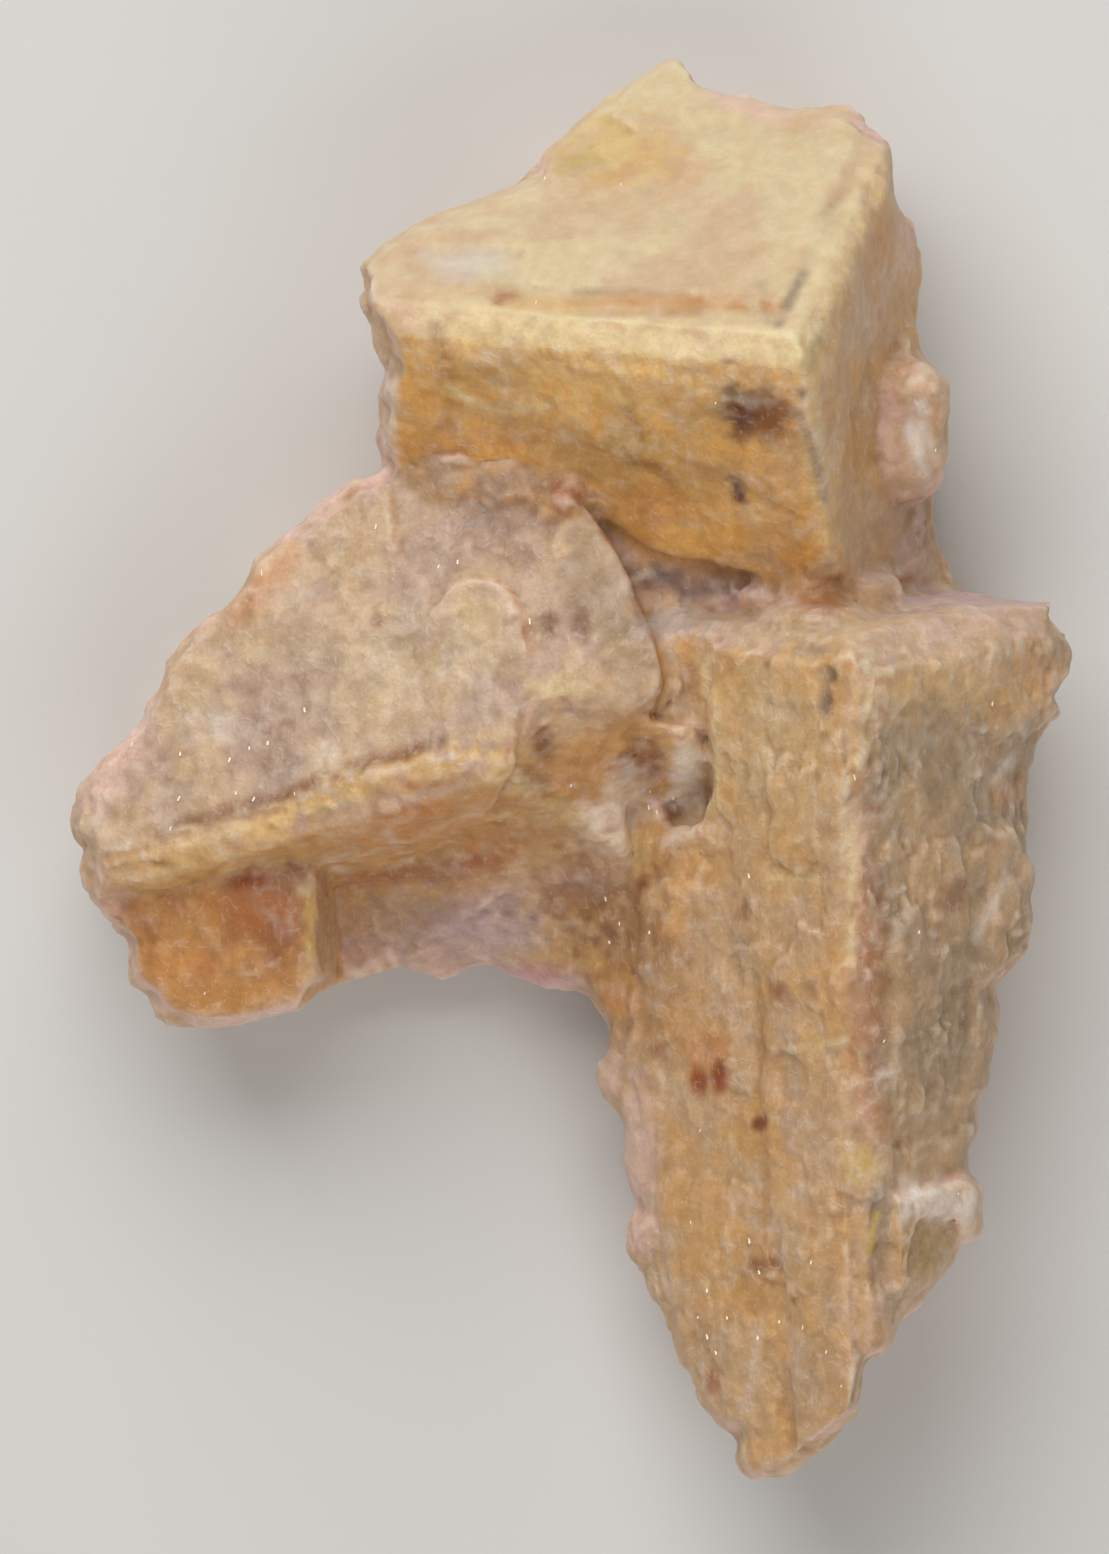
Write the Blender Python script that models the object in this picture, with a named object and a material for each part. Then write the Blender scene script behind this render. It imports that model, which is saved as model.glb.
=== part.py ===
"""Fluorite specimen: three intergrown cubes and a small fourth one on a flat broken base, as one solid.

The specimen lies on its broken back. +X is the photograph's right, +Y its top, +Z points at its viewer.
Each cube is a box on its own three axes, with growth plates on its faces and hollows in them.
The cubes are joined over a core of matrix, then trimmed by a rough broken wall that follows the outline.
Lengths are in metres; MM turns millimetres into metres.
"""

import math
from dataclasses import dataclass

import bmesh
import bpy
from mathutils import Matrix, Vector, noise
from mathutils.bvhtree import BVHTree

MM = 0.001

# Driving dimensions
SPECIMEN_LENGTH = 64 * MM
HIGHEST_CORNER = 23.5 * MM
CORE_HEIGHT = 4.0 * MM
UPPER_ROUNDING = 1.0 * MM
EDGE_ROUNDING = 0.6 * MM

# The outline seen from above, in pixels of the 1109 x 1554 photograph, clockwise from the top tip
OUTLINE_PX = (
    (675, 58), (690, 67), (704, 88), (722, 95), (733, 101), (744, 98), (760, 107), (798, 114),
    (808, 110), (852, 112), (872, 130), (893, 150), (897, 172), (903, 212), (913, 227), (920, 245),
    (917, 300), (921, 352), (935, 370), (950, 388), (956, 410), (953, 448), (944, 463), (942, 484),
    (935, 498), (938, 546), (950, 573), (952, 594), (1003, 600), (1057, 602), (1054, 620), (1065, 634),
    (1072, 656), (1070, 673), (1052, 698), (1062, 715), (1038, 743), (1026, 778), (1027, 838), (1025, 858),
    (1038, 865), (1043, 882), (1035, 897), (1042, 922), (1035, 955), (995, 992), (1000, 1030), (993, 1085),
    (982, 1106), (980, 1138), (971, 1148), (971, 1166), (984, 1190), (979, 1232), (956, 1247), (951, 1272),
    (925, 1293), (904, 1313), (893, 1343), (883, 1355), (869, 1358), (862, 1394), (862, 1414), (830, 1442),
    (812, 1452), (798, 1466), (775, 1475), (757, 1481), (745, 1478), (737, 1460), (736, 1436), (718, 1425),
    (703, 1408), (680, 1360), (670, 1340), (665, 1316), (648, 1293), (646, 1275), (630, 1258), (623, 1234),
    (627, 1219), (638, 1210), (637, 1194), (631, 1174), (629, 1140), (623, 1120), (600, 1089), (593, 1076),
    (607, 1052), (612, 1023), (598, 1006), (582, 991), (540, 984), (510, 979), (488, 967), (470, 971),
    (441, 985), (424, 975), (392, 967), (374, 976), (345, 984), (318, 1003), (302, 1014), (285, 1013),
    (250, 1024), (203, 1031), (170, 1024), (158, 1015), (149, 994), (139, 991), (129, 978), (130, 948),
    (101, 919), (89, 903), (85, 850), (75, 836), (70, 822), (78, 790), (98, 765), (120, 742),
    (141, 721), (148, 704), (163, 690), (168, 666), (198, 632), (236, 600), (248, 582), (254, 558),
    (285, 528), (300, 523), (333, 500), (352, 485), (370, 479), (385, 471), (379, 436), (384, 418),
    (379, 402), (391, 370), (376, 325), (364, 305), (367, 288), (362, 268), (384, 246), (410, 230),
    (465, 207), (510, 190), (536, 178), (543, 154), (580, 122), (595, 111), (625, 90), (660, 65),
)
PIXEL = SPECIMEN_LENGTH / (max(y for _, y in OUTLINE_PX) - min(y for _, y in OUTLINE_PX))
CENTRE_PX = tuple((max(p[i] for p in OUTLINE_PX) + min(p[i] for p in OUTLINE_PX)) / 2 for i in (0, 1))

# The broken wall, from the base up:
# (share of the rim's height, rise above that, inset, roughness, share of the outline's fine teeth)
WALL_LEVELS = (
    (0.00, 0.0 * MM, 1.6 * MM, 0.9 * MM, 0.0),
    (0.22, 0.0 * MM, 1.2 * MM, 1.3 * MM, 0.1),
    (0.50, 0.0 * MM, 0.9 * MM, 1.2 * MM, 0.4),
    (0.80, 0.0 * MM, 0.0 * MM, 0.0 * MM, 1.0),
    (1.00, 0.4 * MM, 0.6 * MM, 0.3 * MM, 1.0),
    (1.00, 10.0 * MM, 1.7 * MM, 0.0 * MM, 1.0),
)
WALL_TOP = 40 * MM  # above everything
FLOOR = -1 * MM  # below the base, where the columns start and the wall trims them
WALL_LUMP_SIZE = 3.2 * MM
LEAST_RIM = 3.6 * MM

BLEND_IN = 0.8 * MM  # how far a growth plate reaches into the face that it grew on
JOG_SPACING = 1.5  # the jogs of a plate's edge, in millimetres like the outlines
JOG = 0.5


def at(px, py, height=0.0):
    """The point that the photograph shows at a pixel, at a height above the base."""
    return Vector(((px - CENTRE_PX[0]) * PIXEL, (CENTRE_PX[1] - py) * PIXEL, height))


def cube_axes(*angles_deg):
    """The three edges that leave a cube's near corner, worked out from their directions seen from above.

    Of three square axes seen from above, the lengths as complex numbers squared add up to zero. So each
    squared length goes with the sine of twice the angle between the other two, and they add up to 2.
    """
    angles = [math.radians(a) for a in angles_deg]
    shares = [abs(math.sin(2 * (angles[(i + 1) % 3] - angles[(i + 2) % 3]))) for i in range(3)]
    axes = []
    for angle, share in zip(angles, shares):
        flat = math.sqrt(2 * share / sum(shares))
        axes.append(Vector((flat * math.cos(angle), flat * math.sin(angle), -math.sqrt(1 - flat**2))))
    return axes


def spot_on_face(face, a, b, level):
    """The three distances of a spot: a and b in the face, and the level put in at the face's own axis."""
    spot = [a, b]
    spot.insert(face, level)
    return spot


def ragged(outline):
    """A plate's outline with small jogs, as growth leaves it: its edges are divided and the points moved."""
    made = []
    for start, end in zip(outline, outline[1:] + outline[:1]):
        a, b = Vector((*start, 0)), Vector((*end, 0))
        pieces = max(1, round((b - a).length / JOG_SPACING))
        for k in range(pieces):
            spot = a.lerp(b, k / pieces)
            made.append((spot + JOG * noise.noise_vector(spot * 0.9 + Vector((3.1, 7.7, 1.3)))).xy)
    return made


@dataclass
class Crystal:
    """A cube's near corner and its three axes, which point into the crystal."""

    corner: Vector
    axes: list

    def point(self, s, t, u):
        """The point s, t and u millimetres from the corner along the three axes."""
        return self.corner + (s * self.axes[0] + t * self.axes[1] + u * self.axes[2]) * MM

    def block(self, name, s, t, u, rounding=0.0):
        """A box between two distances, in millimetres, along each axis."""
        corners = [self.point(a, b, c) for c in u for b in t for a in s]
        return solid_from(name, corners, BOX_FACES, rounding)

    def slab(self, name, face, outline, rise, slope=0.0, depth=BLEND_IN / MM):
        """A plate on one face: the outline, in the face's two distances, raised and let into the face.

        The slope adds to the rise, for each millimetre along the outline's second distance from its least.
        """
        least = min(b for _, b in outline)
        rings = []
        for a, b in outline:
            rings.append(self.point(*spot_on_face(face, a, b, -rise - slope * (b - least))))
        for a, b in outline:
            rings.append(self.point(*spot_on_face(face, a, b, depth)))
        return solid_from(name, rings, prism_faces(len(outline)))


BOX_FACES = ((0, 1, 3, 2), (4, 6, 7, 5), (0, 4, 5, 1), (2, 3, 7, 6), (0, 2, 6, 4), (1, 5, 7, 3))


def prism_faces(count):
    """The faces of a prism whose two rings have this many points."""
    sides = [(i, (i + 1) % count, (i + 1) % count + count, i + count) for i in range(count)]
    return [tuple(range(count)), tuple(range(count, 2 * count)), *sides]


def solid_from(name, points, faces, rounding=0.0):
    """A hidden helper solid with its faces pointing out, with its edges bevelled if asked."""
    mesh = bpy.data.meshes.new(name)
    shape = bmesh.new()
    verts = [shape.verts.new(p) for p in points]
    for face in faces:
        shape.faces.new([verts[i] for i in face])
    bmesh.ops.recalc_face_normals(shape, faces=shape.faces)
    if rounding:
        bmesh.ops.bevel(shape, geom=shape.edges[:], offset=rounding, segments=2, profile=0.6, affect="EDGES")
    shape.to_mesh(mesh)
    shape.free()
    made = bpy.data.objects.new(name, mesh)
    bpy.context.scene.collection.objects.link(made)
    made.hide_render = True
    made.display_type = "WIRE"
    return made


def plane_height(through, px, py):
    """The height at a pixel of the plane through three points, each given as (px, py, height)."""
    a, b, c = (at(*point) for point in through)
    normal = (b - a).cross(c - a)
    spot = at(px, py)
    return a.z - (normal.x * (spot.x - a.x) + normal.y * (spot.y - a.y)) / normal.z


def column(name, footprint_px, low, high):
    """An upright solid over a footprint. Each end is a height, or three points that its plane passes."""
    points = []
    for end in (low, high):
        for px, py in footprint_px:
            points.append(at(px, py, plane_height(end, px, py) if isinstance(end, tuple) else end))
    return solid_from(name, points, prism_faces(len(footprint_px)))


def chip(name, px, py, facing_deg, height, width, lean_deg):
    """A cutter that takes a flat slanting chip out of the wall, below a height on the outline."""
    facing = math.radians(facing_deg)
    out = Vector((math.cos(facing), math.sin(facing), 0))
    along = Vector((-out.y, out.x, 0)) * width / 2
    reach, below = 8 * MM, -1 * MM
    inward = (height - below) * math.tan(math.radians(lean_deg))
    profile = ((0.2 * MM, height), (reach, height), (reach, below), (0.2 * MM - inward, below))
    foot = at(px, py)
    points = [foot + side * along + out * o + Vector((0, 0, h)) for side in (-1, 1) for o, h in profile]
    return solid_from(name, points, prism_faces(len(profile)))


def combine(target, operation, tools):
    """Adds one exact Boolean for each tool to the target."""
    for tool in tools:
        modifier = target.modifiers.new(f"{operation.lower()}_{tool.name}", "BOOLEAN")
        modifier.operation = operation
        modifier.solver = "EXACT"
        modifier.object = tool
    return target


def evaluated(obj):
    """The object's mesh with its modifiers, as a BMesh."""
    shape = bmesh.new()
    shape.from_object(obj, bpy.context.evaluated_depsgraph_get())
    return shape


# The cubes. Each near corner is given by its pixel and height, and each edge by its direction in degrees.
UPPER = Crystal(at(803, 358, HIGHEST_CORNER), cube_axes(174.9, 65.2, -80.2))
LEFT = Crystal(at(664, 733, 19.0 * MM), cube_axes(195.4, 325.0, 100.0))
LOWER = Crystal(at(858, 646, 21.2 * MM), cube_axes(172.2, 12.6, -88.8))
SMALL = Crystal(at(318, 866, 11.0 * MM), cube_axes(181.0, 46.0, -88.0))


def upper_crystal():
    """The upper cube, with its bevelled rim, its raised top and the steps on its side faces."""
    body = UPPER.block("upper_cube", (0, 26), (0, 25), (0, 15.0), UPPER_ROUNDING)
    top = ((1.8, 3.0), (14.5, 2.8), (14.5, 5), (20.5, 5), (20.5, 24), (1.8, 24))
    tip = ((7.5, 15), (12, 13.6), (15, 15), (21, 24), (6.5, 24))
    front = ((1.4, 1.8), (11, 1.8), (11.8, 5.4), (9, 7.5), (5, 7.0), (1.4, 9.5))
    front_left = ((13.2, 1.8), (18.2, 1.8), (18.6, 4.0), (17, 4.6), (13.6, 4.3))
    right = ((1.8, 1.8), (7.5, 1.6), (7.5, 6.2), (4.2, 6.2), (4.2, 10.2), (1.8, 10.2))
    shoulder_px = ((846, 470), (900, 474), (942, 486), (960, 620), (846, 620))
    shoulder_plane = ((860, 490, 13.6 * MM), (930, 500, 8.8 * MM), (860, 600, 12.2 * MM))
    combine(body, "UNION", [
        UPPER.slab("upper_top_plate", 2, ragged(top), 0.25),
        UPPER.slab("upper_tip_plate", 2, ragged(tip), 0.65),
        UPPER.slab("upper_front_plate", 1, ragged(front), 0.2),
        UPPER.slab("upper_front_step", 1, ragged(front_left), 0.25),
        UPPER.slab("upper_right_plate", 0, ragged(right), 0.15),
        UPPER.block("upper_side_lump", (-3.2, 0.5), (7.5, 15), (8.0, 12.6), UPPER_ROUNDING),
        column("upper_right_shoulder", shoulder_px, FLOOR, shoulder_plane),
    ])
    under_px = ((556, 483), (600, 520), (655, 551), (742, 573), (795, 598), (836, 620), (640, 640),
                (540, 560))
    return combine(body, "DIFFERENCE", [column("broken_underside", under_px, 12 * MM, WALL_TOP)])


def left_crystal():
    """The left cube, seen mostly on its top face: a rounded ledge, a raised front rim, a broken corner."""
    body = LEFT.block("left_cube", (0, 31), (0, 24), (0, 19), EDGE_ROUNDING)
    centre_s, centre_u, radius = 7.7, 6.9, 2.3
    arc = [math.radians(a) for a in range(0, 181, 20)]
    thumb = [(centre_s - radius * math.cos(a), centre_u + radius * math.sin(a)) for a in arc]
    top = ((9.6, 1.5), (27, 1.3), (27, 18), (10.6, 18), (10.6, 11.2), (9.6, 10))
    outer = ((16.6, 5.5), (19, 3.6), (27, 3.4), (27, 16), (17.2, 16))
    front = ((7.5, 1.2), (19, 1.2), (19, 4.4), (12.5, 5.4), (7.5, 4.2))
    combine(body, "UNION", [
        LEFT.slab("left_top_plate", 1, ragged(top), 0.35),
        LEFT.slab("left_thumb_ledge", 1, ((10.0, 1.6), (5.4, 1.6), *thumb), 0.05, slope=0.09),
        LEFT.slab("left_outer_plate", 1, ragged(outer), 0.5),
        LEFT.slab("left_front_plate", 2, ragged(front), 0.3),
    ])
    corner_px = ((470, 850), (514, 762), (529, 707), (590, 700), (650, 716), (760, 750), (720, 900),
                 (560, 900))
    corner_plane = ((529, 707, 16.4 * MM), (660, 718, 15.8 * MM), (600, 830, 11.6 * MM))
    slope_px = ((536, 716), (524, 640), (530, 590), (552, 540), (570, 460), (760, 460), (760, 760),
                (600, 705))
    slope_plane = ((532, 690, 16.5 * MM), (562, 500, 14.7 * MM), (668, 690, 16.1 * MM))
    side_px = ((556, 460), (566, 494), (584, 512), (600, 530), (616, 552), (628, 578), (636, 600),
               (645, 622), (655, 648), (661, 672), (661, 694), (652, 712), (640, 722), (760, 740),
               (760, 460))
    wide_pit_px = ((532, 618), (556, 612), (566, 634), (548, 648), (534, 640))
    narrow_pit_px = ((574, 612), (588, 618), (590, 640), (580, 644))
    return combine(body, "DIFFERENCE", [
        column("broken_corner", corner_px, corner_plane, WALL_TOP),
        column("sloping_side", slope_px, slope_plane, WALL_TOP),
        column("curved_side", side_px, 9 * MM, WALL_TOP),
        column("wide_pit", wide_pit_px, 14.8 * MM, WALL_TOP),
        column("narrow_pit", narrow_pit_px, 14.9 * MM, WALL_TOP),
    ])


def lower_crystal():
    """The long lower cube, whose near edge is a ridge, with striped plates beside it."""
    body = LOWER.block("lower_cube", (0, 24), (0, 22), (0, 42), EDGE_ROUNDING)
    strip = ((0.9, 0.9), (8.6, 0.8), (8.8, 8.2), (7.6, 9.0), (7.6, 15), (6.2, 15.5), (6.2, 26), (0.9, 26))
    left = ((8.0, 11.5), (13, 12.5), (14, 20), (11.5, 31), (8.8, 34), (8.0, 30))
    seam = ((5.2, 22), (8.6, 22), (8.6, 36), (5.2, 37))
    foot = ((0.9, 24.8), (4.6, 24.8), (4.6, 38), (0.9, 38))
    cap = ((0.9, 0.9), (16, 0.7), (16, 7), (11, 6.4), (9, 5.4), (5.6, 4.0), (3.2, 2.8), (0.9, 4.6))
    right = ((1.6, 7), (6, 6), (7.5, 8), (7.5, 16), (5, 17), (5, 22), (1.6, 22))
    right_edge = ((7.0, 10), (16, 9.0), (16, 24), (10, 24), (7.0, 19))
    combine(body, "UNION", [
        LOWER.slab("lower_strip_plate", 1, ragged(strip), 0.4),
        LOWER.slab("lower_left_plate", 1, ragged(left), 0.25),
        LOWER.slab("lower_seam_plate", 1, ragged(seam), 0.25),
        LOWER.slab("lower_foot_plate", 1, ragged(foot), 0.5),
        LOWER.slab("lower_right_cap", 0, ragged(cap), 0.35),
        LOWER.slab("lower_right_plate", 0, ragged(right), 0.2),
        LOWER.slab("lower_right_step", 0, ragged(right_edge), 0.3),
        LOWER.slab("lower_right_ledge", 0, ragged(((1.2, 25.4), (9, 24.6), (9, 32), (1.2, 32))), 0.8),
    ])
    pocket_px = ((652, 742), (690, 722), (712, 735), (711, 824), (672, 833), (650, 800))
    pit_px = ((816, 668), (830, 664), (834, 690), (832, 728), (826, 742), (818, 720))
    hollow = ((2.2, 26.6), (5.6, 26.3), (5.6, 29.4), (2.2, 29.8))
    return combine(body, "DIFFERENCE", [
        column("pocket_between_cubes", pocket_px, 10.8 * MM, WALL_TOP),
        column("ridge_pit", pit_px, 19.4 * MM, WALL_TOP),
        LOWER.slab("ledge_hollow", 0, ragged(hollow), 1.5, depth=0.0),
    ])


def small_crystal():
    """The small cube under the left one, nearly face on."""
    return SMALL.block("small_cube", (0, 12), (0, 14), (0, 9), EDGE_ROUNDING)


def core():
    """What joins the cubes: a low slab, a slope under the left cube and lumps under and between them."""
    ends = (-SPECIMEN_LENGTH, SPECIMEN_LENGTH)
    flat = [Vector((x, y, h)) for h in (2 * FLOOR, CORE_HEIGHT) for y in ends for x in ends]
    slab = solid_from("core_slab", flat, BOX_FACES)
    apron = ((300, 800), (620, 760), (640, 1000), (450, 1000), (310, 1010))
    apron_plane = ((400, 870, 7.5 * MM), (600, 890, 9.0 * MM), (450, 990, 3.2 * MM))
    between = ((590, 520), (800, 560), (850, 640), (700, 700), (600, 800), (520, 740))
    under_right = ((800, 320), (930, 330), (965, 400), (955, 500), (850, 580), (800, 560))
    return combine(slab, "UNION", [
        column("core_apron", apron, FLOOR, apron_plane),
        column("core_between", between, FLOOR, 12.3 * MM),
        column("core_under_right", under_right, FLOOR, 9.8 * MM),
    ])


def chips():
    """Flat slanting chips low on the broken wall, where the specimen came off its rock."""
    return [
        chip("chip_left_end", 78, 822, 190, 5.0 * MM, 8 * MM, 34),
        chip("chip_upper_left", 190, 640, 136, 7.5 * MM, 7 * MM, 24),
        chip("chip_left_shoulder", 300, 520, 150, 8.5 * MM, 5 * MM, 18),
        chip("chip_wing", 364, 285, 172, 8.0 * MM, 6 * MM, 22),
        chip("chip_back", 640, 82, 124, 4.2 * MM, 9 * MM, 35),
        chip("chip_back_right", 905, 170, 30, 5.0 * MM, 7 * MM, 30),
        chip("chip_right_top", 1066, 660, 4, 8.0 * MM, 6 * MM, 20),
        chip("chip_right", 1036, 900, 356, 8.5 * MM, 9 * MM, 16),
        chip("chip_right_low", 985, 1110, 350, 8.0 * MM, 8 * MM, 24),
        chip("chip_tip_right", 880, 1360, 322, 7.0 * MM, 7 * MM, 22),
        chip("chip_tip_left", 684, 1365, 208, 6.5 * MM, 9 * MM, 26),
        chip("chip_inner_left", 606, 1110, 196, 4.6 * MM, 6 * MM, 30),
        chip("chip_small_cube", 215, 1028, 262, 7.0 * MM, 6 * MM, 26),
    ]


def smoothed(ring, reach):
    """Each point of a closed ring moved to the mean of its neighbours."""
    count = len(ring)
    near = range(-reach, reach + 1)
    return [sum((ring[(i + k) % count] for k in near), Vector((0, 0, 0))) / len(near) for i in range(count)]


def inward_normals(ring):
    """For each outline point, the direction into the outline, averaged over its neighbours."""
    count, reach = len(ring), 3
    normals = []
    for i in range(count):
        along = ring[(i + reach) % count] - ring[(i - reach) % count]
        normals.append(Vector((along.y, -along.x, 0)).normalized())
    return normals


def rim_heights(ring, normals, shape):
    """The joined cubes' height just inside each outline point, no higher than the mean around it."""
    tree = BVHTree.FromBMesh(shape)
    heights = []
    for point, normal in zip(ring, normals):
        start = point + normal * 0.5 * MM + Vector((0, 0, WALL_TOP))
        hit, *_ = tree.ray_cast(start, Vector((0, 0, -1)))
        heights.append(max(hit.z, LEAST_RIM))
    following = heights[1:] + heights[:1]
    return [min(h, (heights[i - 1] + h + following[i]) / 3) for i, h in enumerate(heights)]


def wall_spot(spot, soft_spot, normal, rim, level):
    """The wall's point at one level over one outline point."""
    share, rise, inset, roughness, teeth = level
    height = Vector((0, 0, share * rim + rise))
    place = soft_spot.lerp(spot, teeth)
    lump = roughness * noise.noise((place + height) / WALL_LUMP_SIZE)
    return place + normal * max(0.0, inset + lump) + height


def broken_wall(shape):
    """The rough wall that trims the cubes to the outline: rings of points, widest just below the rim."""
    ring = [at(px, py) for px, py in OUTLINE_PX]
    normals = inward_normals(ring)
    columns = list(zip(ring, smoothed(ring, 3), normals, rim_heights(ring, normals, shape)))
    points = [wall_spot(*parts, level) for level in WALL_LEVELS for parts in columns]
    count = len(ring)
    points += [Vector((p.x, p.y, WALL_TOP)) for p in points[-count:]]
    levels = len(WALL_LEVELS) + 1
    faces = [tuple(range(count)), tuple(range(count * (levels - 1), count * levels))]
    for k in range(levels - 1):
        for i in range(count):
            a, b = k * count + i, k * count + (i + 1) % count
            faces += [(a, b, b + count), (a, b + count, a + count)]
    return solid_from("broken_wall", points, faces)


def fluorite_material():
    """Translucent honey fluorite, with a waxy lustre."""
    material = bpy.data.materials.new("honey_fluorite")
    material.use_nodes = True
    shader = material.node_tree.nodes["Principled BSDF"]
    shader.inputs["Base Color"].default_value = (0.56, 0.38, 0.21, 1.0)
    shader.inputs["Roughness"].default_value = 0.42
    shader.inputs["Metallic"].default_value = 0.0
    return material


def main():
    """Joins the cubes and the core, trims them to the broken outline and takes chips out of the wall."""
    for old in list(bpy.data.objects):
        bpy.data.objects.remove(old)
    cubes = [upper_crystal(), left_crystal(), lower_crystal(), small_crystal()]
    mass = combine(core(), "UNION", cubes)
    joined = evaluated(mass)
    cluster = broken_wall(joined)
    joined.free()
    combine(cluster, "INTERSECT", [mass])
    combine(cluster, "DIFFERENCE", chips())
    cluster.name = "crystal_cluster"
    cluster.hide_render = False
    cluster.display_type = "TEXTURED"
    cluster.data.materials.append(fluorite_material())


main()
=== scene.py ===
"""Dresses a fluorite specimen: four intergrown honey cubes on a flat broken base.

The solid crystal cluster is copied, hollowed at the pocket, filled where crystals have grown together, and
given a fine even grid of faces. The grid is bevelled along the crystals' near edges and worn round, then
carved with the growth plates, block mosaic, striations, pits and ridges of the stone, and coloured point
by point. One translucent finish adds the grain that is finer than the grid, and small bright chips lie on
the stone. Lengths are millimetres until the mesh is written, and places on the stone are given as pixels
of the photograph, which looks straight down on it.
"""
import logging
import math
from dataclasses import dataclass, field
from enum import Enum, IntEnum

import bmesh
import bpy
import numpy as np
from mathutils import Matrix, Vector


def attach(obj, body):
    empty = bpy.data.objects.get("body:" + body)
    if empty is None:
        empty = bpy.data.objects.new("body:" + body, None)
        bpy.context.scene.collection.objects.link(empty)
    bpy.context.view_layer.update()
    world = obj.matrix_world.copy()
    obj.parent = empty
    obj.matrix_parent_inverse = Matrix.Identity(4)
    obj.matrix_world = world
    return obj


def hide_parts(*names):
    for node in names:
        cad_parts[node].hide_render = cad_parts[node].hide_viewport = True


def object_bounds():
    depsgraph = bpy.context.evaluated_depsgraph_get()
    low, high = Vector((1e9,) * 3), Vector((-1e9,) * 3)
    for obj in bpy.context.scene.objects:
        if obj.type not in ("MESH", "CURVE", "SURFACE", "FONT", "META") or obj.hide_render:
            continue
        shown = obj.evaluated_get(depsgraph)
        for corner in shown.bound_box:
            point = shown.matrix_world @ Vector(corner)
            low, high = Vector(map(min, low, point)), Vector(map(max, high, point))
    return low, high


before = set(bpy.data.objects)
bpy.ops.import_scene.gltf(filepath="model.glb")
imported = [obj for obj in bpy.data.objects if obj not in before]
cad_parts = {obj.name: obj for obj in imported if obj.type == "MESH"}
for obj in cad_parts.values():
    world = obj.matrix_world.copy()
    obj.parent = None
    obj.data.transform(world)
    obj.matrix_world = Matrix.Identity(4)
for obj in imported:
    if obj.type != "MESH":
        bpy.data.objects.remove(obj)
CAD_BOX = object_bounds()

logging.basicConfig(level=logging.INFO, format="%(message)s")
LOG = logging.getLogger("fluorite")

NODE = "crystal_cluster"
MILLIMETRE = 0.001
PHOTO_SIZE = (1109, 1554)
PHOTO_CENTRE = (571.0, 769.5)
PIXEL = 64.0 / 1423.0
FLUORITE_IOR = 1.434

Pixel = tuple[float, float]
Rgb = tuple[float, float, float]


def ramp(values: np.ndarray, start: float, end: float) -> np.ndarray:
    """Goes smoothly from 0 at start to 1 at end, as three times t squared less twice t cubed.

    Args:
        values: The numbers to grade.
        start: The number that gives 0, above or below end.
        end: The number that gives 1.

    Returns:
        Weights from 0 to 1, in the shape of values.
    """
    t = np.clip((values - start) / (end - start), 0.0, 1.0)
    return t * t * (3.0 - 2.0 * t)


def on_stone(pixels: np.ndarray) -> np.ndarray:
    """Turns pixels of the photograph into X and Y on the stone, in millimetres.

    Args:
        pixels: Columns and rows, shape (..., 2).

    Returns:
        X to the right and Y up, shape (..., 2).
    """
    return (np.asarray(pixels, float) - PHOTO_CENTRE) * (PIXEL, -PIXEL)


def on_photo(points: np.ndarray) -> np.ndarray:
    """Turns places on the stone, shape (n, 3), into columns and rows of the photograph, shape (n, 2)."""
    return points[:, :2] / (PIXEL, -PIXEL) + PHOTO_CENTRE


class Seed(IntEnum):
    """The number that starts each kind of noise or draw."""

    BENT = 5
    PLATES = 11
    CHIPS = 19
    BLOCKS = 23
    WAVES = 41
    CRUMB = 43
    STRIAE = 47
    LEVELS = 51
    STEPS = 53
    RAGGED = 61
    MOTTLE = 71
    FINE_MOTTLE = 73
    STREAKS = 81
    FROST = 83


def hashed(cells: np.ndarray, seed: int) -> np.ndarray:
    """Gives each whole-numbered cell of space its own random number.

    The three numbers of the cell are multiplied by large odd numbers, combined by exclusive or, and
    stirred twice by a shift and a product.

    Args:
        cells: Whole numbers, shape (..., 3).
        seed: Chooses the set of random numbers.

    Returns:
        Numbers from 0 to 1, shape (...).
    """
    c = cells.astype(np.int64).astype(np.uint32)
    mixed = c[..., 0] * np.uint32(73856093) ^ c[..., 1] * np.uint32(19349663)
    mixed = mixed ^ c[..., 2] * np.uint32(83492791) ^ np.uint32(seed * 2654435761 % 2**32)
    for shift, factor in ((15, 2246822519), (13, 3266489917)):
        mixed = (mixed ^ (mixed >> np.uint32(shift))) * np.uint32(factor)
    return (mixed ^ (mixed >> np.uint32(16))).astype(float) / 2**32


def lumps(points: np.ndarray, size: float | tuple[float, ...], seed: int, octaves: int = 1) -> np.ndarray:
    """Smooth noise: random numbers on a cubic lattice, blended along smooth ramps between its corners.

    Each further octave halves the lump size and the height, on a lattice turned out of line with the last.

    Args:
        points: Places in millimetres, shape (n, 3).
        size: Lump size in millimetres, one number or one for each axis.
        seed: Chooses the pattern.
        octaves: How many sizes are added up.

    Returns:
        Heights from about -1 to 1, shape (n,).
    """
    turn = np.array(((0.80, 0.60, 0.0), (-0.48, 0.64, 0.60), (0.36, -0.48, 0.80)))
    place = points / np.asarray(size, float)
    total = np.zeros(len(points))
    height = 1.0
    for octave in range(octaves):
        low = np.floor(place)
        part = place - low
        part = part * part * (3.0 - 2.0 * part)
        for corner in np.ndindex(2, 2, 2):
            share = np.where(np.array(corner) == 1, part, 1.0 - part).prod(axis=1)
            total += height * share * (2.0 * hashed(low + corner, seed + 31 * octave) - 1.0)
        place = 2.0 * place @ turn + 17.3
        height *= 0.5
    return total * 1.4


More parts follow.
